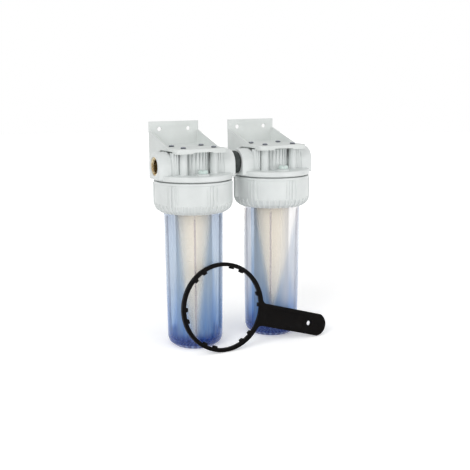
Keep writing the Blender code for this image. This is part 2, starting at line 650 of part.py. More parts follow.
def make_screw_mesh(name, material):
    """Cross-recessed pan-head screw, the head's seat at 0 and the shank towards -Z."""
    profile = [
        (0, -SCREW_LENGTH), (SCREW_SHANK_RADIUS, -SCREW_LENGTH + SCREW_SHANK_RADIUS), (SCREW_SHANK_RADIUS, 0),
        (SCREW_HEAD_RADIUS, 0), (SCREW_HEAD_RADIUS, SCREW_HEAD_HEIGHT - SCREW_HEAD_DOME),
        (SCREW_HEAD_RADIUS - SCREW_HEAD_DOME, SCREW_HEAD_HEIGHT), (0, SCREW_HEAD_HEIGHT),
    ]
    screw = object_from(turned(profile, 10), name)
    for turn in (0, 90):
        arm = box((-SCREW_CROSS_LENGTH / 2, -SCREW_CROSS_WIDTH / 2, SCREW_HEAD_HEIGHT - SCREW_CROSS_DEPTH),
                  (SCREW_CROSS_LENGTH / 2, SCREW_CROSS_WIDTH / 2, SCREW_HEAD_HEIGHT + OVERRUN))
        combine(screw, [moved(arm, turn=turn)], "DIFFERENCE")
    return finish(screw, material)


def shelf_outline(inset=0.0):
    """Plan of the shelf, its front corners round, its rear edge in the wall plate."""
    half = BRACKET_HALF_WIDTH - inset
    front = -SHELF_FRONT + inset
    corner = SHELF_CORNER - inset
    points = [(half, WALL_REACH - SHEET / 2), (-half, WALL_REACH - SHEET / 2)]
    points += arc((-half + corner, front + corner), corner, 180, 270, 5)
    points += arc((half - corner, front + corner), corner, 270, 360, 5)
    return points


def make_bracket(name, material):
    """Wall plate, two gussets and a lipped shelf, of one thickness of sheet."""
    plate_foot = SHELF_TOP + PLATE_RISE - PLATE_HEIGHT
    plate_top = SHELF_TOP + PLATE_RISE
    bracket = object_from(box((-BRACKET_HALF_WIDTH, WALL_REACH - SHEET, plate_foot),
                              (BRACKET_HALF_WIDTH, WALL_REACH, plate_top)), name)
    combine(bracket, [prism(shelf_outline(), SHELF_FOOT, SHELF_TOP)], "UNION")
    lip_mesh = prism(shelf_outline(), SHELF_FOOT - LIP_DEPTH, SHELF_TOP - SHELF_THICKNESS / 2)
    lip = object_from(lip_mesh, name + "_lip")
    lip_back = -SHELF_FRONT + LIP_SIDE_LENGTH
    behind = box((-BRACKET_HALF_WIDTH - OVERRUN, lip_back, SHELF_FOOT - LIP_DEPTH - OVERRUN),
                 (BRACKET_HALF_WIDTH + OVERRUN, WALL_REACH + OVERRUN, SHELF_TOP))
    inside = prism(shelf_outline(SHEET), SHELF_FOOT - LIP_DEPTH - OVERRUN, SHELF_TOP)
    notch = box((-LIP_NOTCH_HALF_WIDTH, -SHELF_FRONT - OVERRUN, SHELF_FOOT - LIP_DEPTH - OVERRUN),
                (LIP_NOTCH_HALF_WIDTH, 0, SHELF_FOOT - LIP_DEPTH + LIP_NOTCH))
    combine(lip, [inside, behind, notch], "DIFFERENCE")
    lip_bm = bmesh.new()
    lip_bm.from_mesh(lip.data)
    bpy.data.objects.remove(lip, do_unlink=True)
    combine(bracket, [lip_bm], "UNION")
    gusset = [
        (WALL_REACH - SHEET / 2, SHELF_TOP + GUSSET_RISE), (-GUSSET_FRONT, SHELF_TOP),
        (-GUSSET_FRONT, SHELF_FOOT), (BOSS_RADIUS + GUSSET_BOSS_CLEARANCE, SHELF_FOOT),
        (WALL_REACH - SHEET / 2, plate_foot + GUSSET_FOOT_LIFT),
    ]
    for side in (-1, 1):
        outer = side * BRACKET_HALF_WIDTH
        start, stop = sorted((outer, outer - side * SHEET))
        sheet = prism(gusset, start, stop)
        sheet.transform(Matrix(((0, 0, 1, 0), (1, 0, 0, 0), (0, 1, 0, 0), (0, 0, 0, 1))))
        combine(bracket, [sheet], "UNION")
        hole = rod(WALL_HOLE_RADIUS, -WALL_REACH - OVERRUN, -WALL_REACH + SHEET + OVERRUN, 20)
        moved(hole, turn=90.0, axis="X")
        moved(hole, (side * WALL_HOLE_SPREAD, 0, plate_top - WALL_HOLE_DROP))
        combine(bracket, [hole], "DIFFERENCE")
    for x, y in COLUMN_PLACES:
        hole = rod(SCREW_SHANK_RADIUS + SHELF_HOLE_CLEARANCE, SHELF_FOOT - OVERRUN, SHELF_TOP + OVERRUN, 12)
        combine(bracket, [moved(hole, (x, y, 0))], "DIFFERENCE")
    return finish(bracket, material, smooth=30.0)


# The spanner, in its own plane: X to the right, Y up, Z towards the front

def spanner_radii():
    inner = NUT_LUG_RADIUS + SPANNER_LUG_CLEARANCE
    return inner, inner + SPANNER_RIM


def spanner_outline():
    """Outer edge: the ring, a fillet, the handle with its round end, and the other fillet."""
    outer = spanner_radii()[1]
    half = SPANNER_HANDLE_HALF_WIDTH
    fillet_y = half + SPANNER_FILLET
    fillet_x = math.sqrt((outer + SPANNER_FILLET) ** 2 - fillet_y ** 2)
    meet = math.degrees(math.atan2(fillet_y, fillet_x))
    end_radius = (half ** 2 + SPANNER_END_DEPTH ** 2) / (2 * SPANNER_END_DEPTH)
    end_x = SPANNER_HANDLE_REACH - end_radius
    corner = math.degrees(math.atan2(half, end_radius - SPANNER_END_DEPTH))
    points = arc((0, 0), outer, meet, 360 - meet, SPANNER_STEPS)
    points += arc((fillet_x, -fillet_y), SPANNER_FILLET, 180 - meet, 90, 4)[1:]
    points += arc((end_x, 0), end_radius, -corner, corner, 10)
    points += arc((fillet_x, fillet_y), SPANNER_FILLET, 270, 180 + meet, 4)[:-1]
    tilt = math.radians(SPANNER_HANDLE_ANGLE)
    across, up = math.cos(tilt), math.sin(tilt)
    return [(x * across - y * up, x * up + y * across) for x, y in points]


def spanner_bore():
    """Inner edge, with a pair of teeth for each lug of the nut."""
    inner = spanner_radii()[0]
    tip = NUT_PANEL_RADIUS + SPANNER_TOOTH_CLEARANCE
    half = math.degrees(SPANNER_TOOTH_WIDTH / 2 / inner)
    points = []
    for lug in range(NUT_LUGS):
        middle = SPANNER_PHASE + 360.0 * lug / NUT_LUGS
        first, second = middle - SPANNER_TOOTH_ANGLE, middle + SPANNER_TOOTH_ANGLE
        for tooth in (first, second):
            points += arc((0, 0), inner, tooth - half, tooth - half, 1)[:1]
            points += arc((0, 0), tip, tooth - half, tooth + half, 1)
            points += arc((0, 0), inner, tooth + half, tooth + half, 1)[:1]
        following = first + 360.0 / NUT_LUGS
        points += arc((0, 0), inner, second + half, following - half, 6)[1:-1]
    return points


def spanner_lean():
    """Angle at which the ring rests on the left bowl, and the height at which it does."""
    outer = spanner_radii()[1]
    across = -SPACING / 2 - SPANNER_CENTRE_X
    top = outer + math.sqrt(outer ** 2 - across ** 2)
    lean = 0.0
    for _ in range(20):
        height = top * math.cos(lean)
        reach = bowl_outer_radius(height) + GAP + SPANNER_THICKNESS / 2 / math.cos(lean)
        lean = math.atan2(SPANNER_FOOT_REACH - reach, height)
    return lean


def make_spanner(name, material):
    bm = bmesh.new()
    front = SPANNER_THICKNESS / 2
    edges = []
    for points in (spanner_outline(), spanner_bore()):
        verts = [bm.verts.new((x, y, -front)) for x, y in points]
        edges += [bm.edges.new((verts[i], verts[(i + 1) % len(verts)])) for i in range(len(verts))]
    filled = bmesh.ops.triangle_fill(bm, use_beauty=True, use_dissolve=False, edges=edges)
    faces = [face for face in filled["geom"] if isinstance(face, bmesh.types.BMFace)]
    extruded = bmesh.ops.extrude_face_region(bm, geom=faces, use_keep_orig=True)
    raised = [vert for vert in extruded["geom"] if isinstance(vert, bmesh.types.BMVert)]
    bmesh.ops.translate(bm, verts=raised, vec=(0, 0, SPANNER_THICKNESS))
    spanner = object_from(bm, name)
    hole_reach = SPANNER_HANDLE_REACH - SPANNER_HOLE_INSET
    panel_start = spanner_radii()[1] + SPANNER_PANEL_START
    panel_end = hole_reach - SPANNER_HOLE_RADIUS - SPANNER_PANEL_GAP
    mouth = SPANNER_HOLE_RADIUS + SPANNER_HOLE_CHAMFER + OVERRUN
    past = front + OVERRUN
    land = front - SPANNER_HOLE_CHAMFER
    profile = [(0, -past), (mouth, -past), (SPANNER_HOLE_RADIUS, -land), (SPANNER_HOLE_RADIUS, land),
               (mouth, past), (0, past)]
    hole = moved(turned(profile, 20), (hole_reach, 0, 0))
    half = SPANNER_HANDLE_HALF_WIDTH - SPANNER_PANEL_MARGIN
    cuts = [moved(hole, turn=SPANNER_HANDLE_ANGLE)]
    for face, proud in ((front, OVERRUN), (-front, -OVERRUN)):
        inner = face - math.copysign(SPANNER_PANEL_DEPTH, face)
        low, high = sorted((inner, face + proud))
        panel = box((panel_start, -half, low), (panel_end, half, high))
        cuts.append(moved(panel, turn=SPANNER_HANDLE_ANGLE))
    combine(spanner, cuts, "DIFFERENCE")
    finish(spanner, material)
    lean = spanner_lean()
    rise = spanner_radii()[1] * math.cos(lean) + front * math.sin(lean)
    depth = -SPANNER_FOOT_REACH + rise * math.tan(lean)
    spanner.rotation_euler = (math.pi / 2 - lean, 0, 0)
    spanner.location = (SPANNER_CENTRE_X, depth, rise)
    return spanner


def make_coupling(name, material):
    """Black nipple between the housings: a collar with a plain spigot into each insert."""
    collar = COLLAR_WIDTH / 2
    reach = HALF_JOINT + NIPPLE_REACH
    nipple = INSERT_BORE_RADIUS - NIPPLE_CLEARANCE
    bore = nipple - COUPLING_WALL
    profile = [
        (bore, -reach), (nipple, -reach), (nipple, -collar), (COLLAR_RADIUS - COLLAR_EDGE, -collar),
        (COLLAR_RADIUS, -collar + COLLAR_EDGE), (COLLAR_RADIUS, collar - COLLAR_EDGE),
        (COLLAR_RADIUS - COLLAR_EDGE, collar), (nipple, collar), (nipple, reach), (bore, reach),
    ]
    coupling = object_from(along_x(turned(profile, 24, closed_profile=True)), name, material)
    coupling.location = (0, 0, PORT_HEIGHT)
    return coupling


def make_washer(name, material, side):
    near = COLLAR_WIDTH / 2 + GAP
    far = near + WASHER_THICKNESS
    bore = INSERT_BORE_RADIUS
    radius = COLLAR_RADIUS - WASHER_INSET
    profile = [(bore, near), (radius, near), (radius, far), (bore, far)]
    ring = along_x(turned(profile, 24, closed_profile=True))
    washer = object_from(moved(ring, turn=0 if side > 0 else 180), name, material)
    washer.location = (0, 0, PORT_HEIGHT)
    return washer


# Assembly

def place(thing, parent, location=(0, 0, 0), rotation=(0, 0, 0)):
    thing.parent = parent
    thing.location = location
    thing.rotation_euler = rotation
    return thing


def empty(name, location, parent=None):
    thing = bpy.data.objects.new(name, None)
    bpy.context.scene.collection.objects.link(thing)
    thing.parent = parent
    thing.location = location
    return thing


def build_housing(side, sign, paint):
    """One housing: its fixed pieces, then the bowl with its cartridge, then the nut and the vent."""
    axis = empty(f"{side}_axis", (sign * SPACING / 2, 0, 0))
    drop = empty(f"{side}_bowl_axis", (0, 0, 0), axis)
    place(make_head(f"{side}_head", paint["head"]), axis)
    for port, direction in (("inlet", -1), ("outlet", 1)):
        insert = make_insert(f"{side}_{port}_insert", paint["brass"])
        face = direction * (PORT_REACH - INSERT_RECESS)
        place(insert, axis, (face, 0, PORT_HEIGHT), (0, -direction * math.pi / 2, 0))
    place(make_bracket(f"{side}_bracket", paint["bracket"]), axis)
    first = None
    for (x, y), corner in zip(COLUMN_PLACES, ("front_a", "front_b", "rear_a", "rear_b")):
        name = f"{side}_bracket_screw_{corner}"
        if first is None:
            first = make_screw_mesh(name, paint["screw"])
            screw = first
        else:
            screw = bpy.data.objects.new(name, first.data)
            bpy.context.scene.collection.objects.link(screw)
        place(screw, axis, (x, y, SHELF_TOP + GAP))
    place(make_bowl(f"{side}_bowl", paint["bowl"], BOWL_TURN[side]), drop)
    place(make_ring_seal(f"{side}_bowl_seal", paint["rubber"]), drop)
    place(make_gasket(f"{side}_cartridge_lower_gasket", paint["gasket"], CARTRIDGE_FOOT), drop)
    place(make_gasket(f"{side}_cartridge_upper_gasket", paint["gasket"], TOP_GASKET_FOOT), drop)
    tubes = {"core": (CORE_RADIUS - CORE_WALL, CORE_RADIUS, 20),
             "media": (CORE_RADIUS + GAP, MEDIA_RADIUS, 32)}
    for part, (bore, radius, steps) in tubes.items():
        tube = make_tube(f"{side}_cartridge_{part}", paint[part], bore, radius, MEDIA_FOOT, MEDIA_TOP, steps)
        place(tube, drop)
    place(make_nut(f"{side}_ring_nut", paint["nut"], NUT_TURN[side]), drop)
    vent_seat = FLANGE_TOP + VENT_BOSS_HEIGHT + GAP
    place(make_vent_screw(f"{side}_vent_screw", paint["vent"]), axis, (0, -VENT_OFFSET, vent_seat))
    seal_middle = FLANGE_TOP + VENT_BOSS_HEIGHT - VENT_SEAL_SECTION / 2
    seal_radius = VENT_HOLE_RADIUS + VENT_SEAT_WIDTH / 2
    seal = torus(seal_radius, VENT_SEAL_SECTION, 0, 12, 4)
    place(object_from(seal, f"{side}_vent_seal", paint["rubber"]), axis, (0, -VENT_OFFSET, seal_middle))


def main():
    clear_scene()
    paint = {
        "head": make_material("white_moulded_plastic", (0.72, 0.75, 0.74), 0.35),
        "nut": make_material("white_nut_plastic", (0.72, 0.75, 0.74), 0.38),
        "bracket": make_material("white_bracket_plastic", (0.68, 0.71, 0.70), 0.42),
        "bowl": make_material("blue_clear_plastic", (0.45, 0.60, 0.82), 0.06, alpha=0.4),
        "brass": make_material("brass", (0.62, 0.42, 0.16), 0.28, metallic=1.0),
        "coupling": make_material("black_moulded_plastic", (0.03, 0.035, 0.035), 0.45),
        "rubber": make_material("black_rubber", (0.02, 0.02, 0.02), 0.7),
        "gasket": make_material("white_soft_gasket", (0.80, 0.79, 0.75), 0.7),
        "core": make_material("white_core_plastic", (0.82, 0.81, 0.78), 0.5),
        "media": make_material("cream_filter_media", (0.85, 0.80, 0.70), 0.9),
        "screw": make_material("zinc_plated_steel", (0.55, 0.57, 0.60), 0.3, metallic=1.0),
        "vent": make_material("pale_green_plastic", (0.60, 0.76, 0.70), 0.35),
        "spanner": make_material("black_spanner_plastic", (0.015, 0.012, 0.011), 0.4),
    }
    for side, sign in SIDES.items():
        build_housing(side, sign, paint)
    make_coupling("coupling_nipple", paint["coupling"])
    make_washer("left_coupling_seal", paint["rubber"], -1)
    make_washer("right_coupling_seal", paint["rubber"], 1)
    make_spanner("spanner", paint["spanner"])
    print("spanner leans", round(math.degrees(spanner_lean()), 2), "degrees")


main()
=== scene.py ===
# %% [markdown]
# # Duplex water filter
#
# Two housings for 250 mm cartridges stand side by side, joined port to port, so that the water runs through
# one cartridge and then through the other. Each hangs from its own wall bracket, and a ring spanner for the
# two nuts leans on the left bowl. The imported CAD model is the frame: it says how large each part is and how it
# moves. This script dresses it. Every piece below is made at its place in metres, +Z up, -Y to the front, then
# rides on the body of the part that it stands for.

# %% Load the frame
import math

import bmesh
import bpy
from mathutils import Matrix, Vector


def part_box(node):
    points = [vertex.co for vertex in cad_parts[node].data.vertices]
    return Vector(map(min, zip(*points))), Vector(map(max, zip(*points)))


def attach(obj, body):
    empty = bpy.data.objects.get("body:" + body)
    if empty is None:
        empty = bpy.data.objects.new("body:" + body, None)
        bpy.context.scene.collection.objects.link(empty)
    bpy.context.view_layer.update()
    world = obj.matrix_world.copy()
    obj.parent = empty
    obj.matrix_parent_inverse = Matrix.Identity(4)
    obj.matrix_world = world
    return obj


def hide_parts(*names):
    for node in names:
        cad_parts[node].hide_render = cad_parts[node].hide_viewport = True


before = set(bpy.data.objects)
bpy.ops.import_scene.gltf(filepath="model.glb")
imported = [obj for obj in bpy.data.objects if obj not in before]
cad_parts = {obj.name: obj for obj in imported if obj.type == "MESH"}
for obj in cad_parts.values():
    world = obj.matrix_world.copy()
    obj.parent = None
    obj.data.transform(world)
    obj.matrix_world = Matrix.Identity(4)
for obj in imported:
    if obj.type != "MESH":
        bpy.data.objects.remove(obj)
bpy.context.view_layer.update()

# %% [markdown]
# ## Sizes
#
# The lengths repeat the CAD model's, so that each dressed piece lies on its solid. Heights are above the
# surface on which the bowls stand, and radii are about each housing's own axis. A size that only one piece
# needs is named beside that piece.

# %% Sizes
MM = 0.001
AXIS_X = {"left": -0.0735, "right": 0.0735}

# The bowl and its rim; its front rib faces BOWL_TURN degrees from -Y towards -X
BOWL_TOP, BOWL_BASE, BOWL_HEEL = 0.0486, 0.0458, 0.0140
RIM_RADIUS, RIM_UNDERSIDE, RIM_TOP = 0.0560, 0.2330, 0.2408
BOWL_TURN = {"left": 22.0, "right": 31.5}

# Where the bowl comes out of the nut, and the head above it with its thread
NUT_FOOT = 0.2245
SKIRT_RADIUS, SKIRT_FOOT = 0.0560, 0.2420
FLANGE_FOOT, FLANGE_TOP, HEAD_TOP = 0.2774, 0.2858, 0.3226
THREAD_PITCH, THREAD_BASE, THREAD_STEPS = 0.0050, 0.0030, 72

# The ports, the seats of their brass inserts, and what stands on the head, from the housing's axis
PORT_HEIGHT, PORT_REACH = 0.2998, 0.0670
INSERT_RADIUS, INSERT_RECESS, INSERT_LENGTH = 0.0147, 0.0012, 0.0180
COLUMNS = [(x, y) for y in (-0.0240, 0.0240) for x in (-0.0265, 0.0265)]
VENT_OFFSET = 0.0395
print("distance between the housings' axes, mm:", round((AXIS_X["right"] - AXIS_X["left"]) / MM, 1))

# %% [markdown]
# ## Building blocks
#
# ### Outlines and skins
#
# Mouldings are turned or lofted shapes with rounded corners. They could be primitives with a Bevel modifier,
# but a real mould rounds each corner by its own amount. So `rounded` puts an arc at each corner of an outline,
# and `loft` joins a row of rings into a closed skin.

# %% Outlines and skins
NEARLY_STRAIGHT = math.radians(89)   # half of a corner's angle, past which no arc fits in it
ARC_SHARE = 0.48                     # of each side, which the arcs at its ends may take


def rounded(points, closed=True, steps=4):
    """An outline from (x, y, radius) corners; each corner with a radius becomes an arc."""
    out = []
    for i, (x, y, radius) in enumerate(points):
        here = Vector((x, y))
        if radius <= 0 or (not closed and i in (0, len(points) - 1)):
            out.append((x, y))
            continue
        back = Vector(points[i - 1][:2]) - here
        ahead = Vector(points[(i + 1) % len(points)][:2]) - here
        half = back.angle(ahead) / 2
        if half > NEARLY_STRAIGHT:
            out.append((x, y))
            continue
        reach = min(radius / math.tan(half), back.length * ARC_SHARE, ahead.length * ARC_SHARE)
        centre = here + (back.normalized() + ahead.normalized()).normalized() * reach / math.cos(half)
        start, stop = here + back.normalized() * reach - centre, here + ahead.normalized() * reach - centre
        first = math.atan2(start.y, start.x)
        sweep = (math.atan2(stop.y, stop.x) - first + math.pi) % (2 * math.pi) - math.pi
        for k in range(steps + 1):
            angle = first + sweep * k / steps
            out.append((centre.x + start.length * math.cos(angle), centre.y + start.length * math.sin(angle)))
    return out


def loft(rings, closed=False):
    """A closed skin through rings of points; a ring of one point is a tip, and closed joins last to first."""
    bm = bmesh.new()
    made = [[bm.verts.new(point) for point in ring] for ring in rings]
    pairs = list(zip(made, made[1:])) + ([(made[-1], made[0])] if closed else [])
    for a, b in pairs:
        count = max(len(a), len(b))
        for i in range(count):
            j = (i + 1) % count
            corners = [a[i % len(a)], a[j % len(a)], b[j % len(b)], b[i % len(b)]]
            face = list(dict.fromkeys(corners))
            if len(face) > 2:
                bm.faces.new(face)
    if not closed:
        for ring in (made[0], made[-1]):
            if len(ring) > 2:
                bm.faces.new(ring)
    bmesh.ops.recalc_face_normals(bm, faces=bm.faces)
    return bm


print("points in a square with rounded corners:", len(rounded([(0, 0, .1), (1, 0, .1), (1, 1, .1), (0, 1, .1)])))

# %% [markdown]
# ### Turned forms and prisms
#
# Most pieces are round, so `turned` spins a profile of (radius, height) points. A `spindle` is the solid kind,
# whose profile starts and ends on the axis. `prism` draws an outline out along Z and rounds its two rims.

# %% Turned forms and prisms
ON_AXIS = 1e-7


def turned(profile, steps, closed=True):
    """A turned form about Z from (radius, height) points; an open profile starts and ends on the axis."""
    rings = []
    for radius, height in profile:
        if radius < ON_AXIS:
            rings.append([(0, 0, height)])
        else:
            angles = [2 * math.pi * i / steps for i in range(steps)]
            rings.append([(radius * math.cos(a), radius * math.sin(a), height) for a in angles])
    return loft(rings, closed)


def spindle(corners, steps):
    """A solid turned form from (radius, height) or (radius, height, rounding) corners, axis to axis."""
    corners = [(*corner, 0)[:3] for corner in corners]
    return turned(rounded(corners, closed=False), steps, closed=False)


def moved(bm, offset=(0, 0, 0), turn=0.0, axis="Z"):
    """The same mesh, turned about an axis through the origin and then shifted."""
    matrix = Matrix.Translation(Vector(offset)) @ Matrix.Rotation(math.radians(turn), 4, axis)
    bm.transform(matrix)
    return bm


def prism(outline, low, high, bevel=0.0):
    """An outline in X and Y drawn out along Z, its two rims rounded; the outline is convex enough to shrink."""
    def ring(inset, height):
        count = len(outline)
        points = []
        for i in range(count):
            a, b, c = (Vector(outline[(i + k) % count]) for k in (-1, 0, 1))
            before, after = (b - a).normalized(), (c - b).normalized()
            inward = Vector((-(before + after).y, (before + after).x)).normalized()
            points.append((*(b + inward * inset), height))
        return points

    corners = range(len(outline))
    area = sum(outline[i - 1][0] * outline[i][1] - outline[i][0] * outline[i - 1][1] for i in corners)
    side = 1 if area > 0 else -1
    if bevel <= 0:
        return loft([ring(0, low), ring(0, high)])
    steps = 3
    quarter = [math.pi / 2 * k / steps for k in range(steps + 1)]
    arc = [(bevel * (1 - math.sin(angle)), bevel * (1 - math.cos(angle))) for angle in quarter]
    rings = [ring(side * inset, low + rise) for inset, rise in arc]
    rings += [ring(side * inset, high - rise) for inset, rise in reversed(arc)]
    return loft(rings)


test_disc = spindle([(0, 0), (1, 0), (1, 1), (0, 1)], 12)
print("faces of a turned disc of 12 steps:", len(test_disc.faces))
test_disc.free()

# %% [markdown]
# ### Screw threads
#
# A thread's ridge is one trapezium swept up a helix, which the Screw modifier could also do. Here the rings are
# placed one by one, so that the ridge can run out to nothing at both ends, as a cut thread does.

# %% Screw threads
RUN_OUT = 1 / 8            # of a turn, over which a ridge fades at each end
TIP_GAP = 1e-6             # between the corners of a ridge's tip, so that it keeps its faces


def helix(root, crest, base, start, turns, pitch, steps):
    """A screw thread's ridge, base wide at its root radius, from the height start upwards."""
    rings = []
    count = int(steps * turns)
    for i in range(count + 1):
        angle = 2 * math.pi * i / steps
        height = start + pitch * i / steps
        fade = min(1.0, i / (steps * RUN_OUT), (count - i) / (steps * RUN_OUT))
        top = root + (crest - root) * fade
        section = [(root, -base / 2), (top, -base / 5), (top, base / 5), (root, base / 2)]
        if fade <= 0:
            section = [(root + TIP_GAP * k, -base / 2 + base * k / 3) for k in range(4)]
        rings.append([(r * math.cos(angle), r * math.sin(angle), height + z) for r, z in section])
    return loft(rings)


print("a ridge fades over", round(360 * RUN_OUT), "degrees at each end")

# %% [markdown]
# ### Joining, cutting and easing edges
#
# Modifiers work on objects, so a mesh is put on a bench object, worked on, and taken off again as plain mesh.
# `united` makes one skin with an exact Boolean, which the heads need because their forms run into each other.
# `joined` only puts skins side by side in one mesh, which is enough for a thread or a fin that stands on a wall.

# %% Joining, cutting and easing edges
SAME_POINT = 2e-6          # corners closer than this after a Boolean are one corner
FLAT = math.radians(0.6)   # faces that meet flatter than this are one face


def on_bench(bm):
    """An object that holds a mesh while a modifier works on it."""
    mesh = bpy.data.meshes.new("bench")
    bm.to_mesh(mesh)
    bm.free()
    holder = bpy.data.objects.new("bench", mesh)
    bpy.context.scene.collection.objects.link(holder)
    return holder


def off_bench(holder):
    """The mesh as the object's modifiers leave it; the object is removed."""
    result = bpy.data.meshes.new_from_object(holder.evaluated_get(bpy.context.evaluated_depsgraph_get()))
    before = holder.data
    bm = bmesh.new()
    bm.from_mesh(result)
    bpy.data.objects.remove(holder)
    bpy.data.meshes.remove(before)
    bpy.data.meshes.remove(result)
    return bm


def joined(parts):
    """Several closed skins in one mesh."""
    whole = bmesh.new()
    for part in parts:
        scrap = bpy.data.meshes.new("scrap")
        part.to_mesh(scrap)
        whole.from_mesh(scrap)
        part.free()
        bpy.data.meshes.remove(scrap)
    return whole


def united(base, others, operation="UNION"):
    """One skin from several by an exact Boolean."""
    for other in others:
        target, tool = on_bench(base), on_bench(other)
        cut = target.modifiers.new("cut", "BOOLEAN")
        cut.operation, cut.solver, cut.object = operation, "EXACT", tool
        base = off_bench(target)
        off_bench(tool).free()
    bmesh.ops.remove_doubles(base, verts=base.verts, dist=SAME_POINT)
    return base


def softened(bm, width, segments=2, angle=38):
    """The same mesh with its sharper edges rounded."""
    bmesh.ops.dissolve_limit(bm, angle_limit=FLAT, verts=bm.verts, edges=bm.edges)
    target = on_bench(bm)
    bevel = target.modifiers.new("bevel", "BEVEL")
    bevel.width, bevel.segments, bevel.limit_method = width, segments, "ANGLE"
    bevel.angle_limit, bevel.harden_normals = math.radians(angle), False
    return off_bench(target)


test_cube = softened(prism([(-1, -1), (1, -1), (1, 1), (-1, 1)], -1, 1), 0.1)
print("faces of a cube with eased edges:", len(test_cube.faces))
test_cube.free()

# %% [markdown]
# ### Finished pieces
#
# A finished piece gets its material, smooth shading with sharp edges kept, and its place in the frame: it rides
# on a body and replaces the CAD nodes that it stands for.

# %% Finished pieces
def piece(name, bm, material, body, nodes=(), sharp=35):
    """A finished piece of the scene: it rides on a body and stands for its CAD nodes."""
    mesh = bpy.data.meshes.new(name)
    bm.to_mesh(mesh)
    bm.free()
    mesh.materials.clear()
    mesh.materials.append(material)
    mesh.polygons.foreach_set("material_index", [0] * len(mesh.polygons))
    mesh.shade_smooth()
    mesh.set_sharp_from_angle(angle=math.radians(sharp))
    made = bpy.data.objects.new(name, mesh)
    bpy.context.scene.collection.objects.link(made)
    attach(made, body)
    if nodes:
        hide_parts(*nodes)
    print(name, "has", len(mesh.polygons), "faces")
    return made


# %% [markdown]
# ### Nodes
#
# Geometry trees and material trees are built the same way: a node, its settings, and its inputs, each of them a
# value or the socket that feeds it. One small function does that, whatever the kind of node.

# %% Nodes
def add(tree, kind, inputs=None, **settings):
    """One node, with its settings, and its inputs as values or as the sockets that feed them."""
    node = tree.nodes.new(kind)
    for key, value in settings.items():
        setattr(node, key, value)
    for key, value in (inputs or {}).items():
        if isinstance(value, bpy.types.NodeSocket):
            tree.links.new(value, node.inputs[key])
        else:
            node.inputs[key].default_value = value
    return node


# %% [markdown]
# ### A pattern round an axis
#
# A mould maker cuts one lug and indexes it round. The node tree below does the same: it takes one piece of mesh,
# copies it `Count` times at an angle of `Pitch`, starting at `Start`, and joins the copies into one mesh. A loop
# in Python could do it too, but the tree shows the rule, and its sizes stay inputs.

# %% The pattern's node tree
def pattern_tree():
    tree = bpy.data.node_groups.new("Indexed pattern", "GeometryNodeTree")
    for name, kind in (("Geometry", "Geometry"), ("Count", "Int"), ("Pitch", "Float"), ("Start", "Float"),
                       ("Material", "Material")):
        tree.interface.new_socket(name=name, in_out="INPUT", socket_type="NodeSocket" + kind)
    tree.interface.new_socket(name="Geometry", in_out="OUTPUT", socket_type="NodeSocketGeometry")
    inputs = tree.nodes.new("NodeGroupInput")
    line = add(tree, "GeometryNodeMeshLine", {"Count": inputs.outputs["Count"], "Offset": (0, 0, 0)})
    index = add(tree, "GeometryNodeInputIndex")
    step = add(tree, "ShaderNodeMath", {0: index.outputs[0], 1: inputs.outputs["Pitch"],
                                        2: inputs.outputs["Start"]}, operation="MULTIPLY_ADD")
    turn = add(tree, "ShaderNodeCombineXYZ", {"Z": step.outputs[0]})
    copies = add(tree, "GeometryNodeInstanceOnPoints", {"Points": line.outputs[0], "Instance": inputs.outputs[0],
                                                        "Rotation": turn.outputs[0]})
    real = add(tree, "GeometryNodeRealizeInstances", {0: copies.outputs[0]})
    paint = add(tree, "GeometryNodeSetMaterial", {"Geometry": real.outputs[0],
                                                  "Material": inputs.outputs["Material"]})
    add(tree, "NodeGroupOutput", {0: paint.outputs[0]})
    return tree


PATTERN = pattern_tree()
PATTERN_INPUTS = {item.name: item.identifier for item in PATTERN.interface.items_tree if item.in_out == "INPUT"}
print("pattern inputs:", list(PATTERN_INPUTS))

# %% [markdown]
# The tree runs as a modifier on a bench object. A modifier's inputs are set by their sockets' identifiers, so
# `PATTERN_INPUTS` holds those by name.

# %% The pattern at work
def indexed(bm, count, material, start=0.0):
    """Copies of one small mesh spaced evenly round Z, made by the node tree and turned into plain mesh."""
    holder = on_bench(bm)
    modifier = holder.modifiers.new("pattern", "NODES")
    modifier.node_group = PATTERN
    values = {"Count": count, "Pitch": math.radians(360.0 / count), "Start": math.radians(start),
              "Material": material}
    for name, value in values.items():
        modifier[PATTERN_INPUTS[name]] = value
    return off_bench(holder)


test_paint = bpy.data.materials.new("test")
test_pins = indexed(moved(spindle([(0, 0), (0.1, 0), (0.1, 1), (0, 1)], 8), (1, 0, 0)), 6, test_paint)
print("faces of six pins, indexed:", len(test_pins.faces))
test_pins.free()
bpy.data.materials.remove(test_paint)

# %% [markdown]
# ## Materials
#
# Colours are written as sRGB codes and turned to linear light by one function. Pattern sizes are in millimetres
# of the real surface. All patterns are read from object coordinates, which here are metres in the shared frame.

# %% Colours, noise and ranges
def linear(code):
    """An sRGB code such as DCE0DF as linear red, green, blue and alpha."""
    parts = [int(code[i:i + 2], 16) / 255 for i in (0, 2, 4)]
    return [v / 12.92 if v <= 0.04045 else ((v + 0.055) / 1.055) ** 2.4 for v in parts] + [1.0]


def blank(name):
    """A new material with no nodes, and its tree."""
    material = bpy.data.materials.new(name)
    material.use_nodes = True
    material.node_tree.nodes.clear()
    return material, material.node_tree


def noise(tree, size_mm, detail=3.0, stretch=(1, 1, 1), roughness=0.5):
    """Noise whose patches are about size_mm across."""
    place = add(tree, "ShaderNodeTexCoord")
    scaled = add(tree, "ShaderNodeMapping", {"Vector": place.outputs["Object"], "Scale": stretch})
    return add(tree, "ShaderNodeTexNoise", {"Vector": scaled.outputs[0], "Scale": 1 / (size_mm * MM),
                                            "Detail": detail, "Roughness": roughness}).outputs["Fac"]


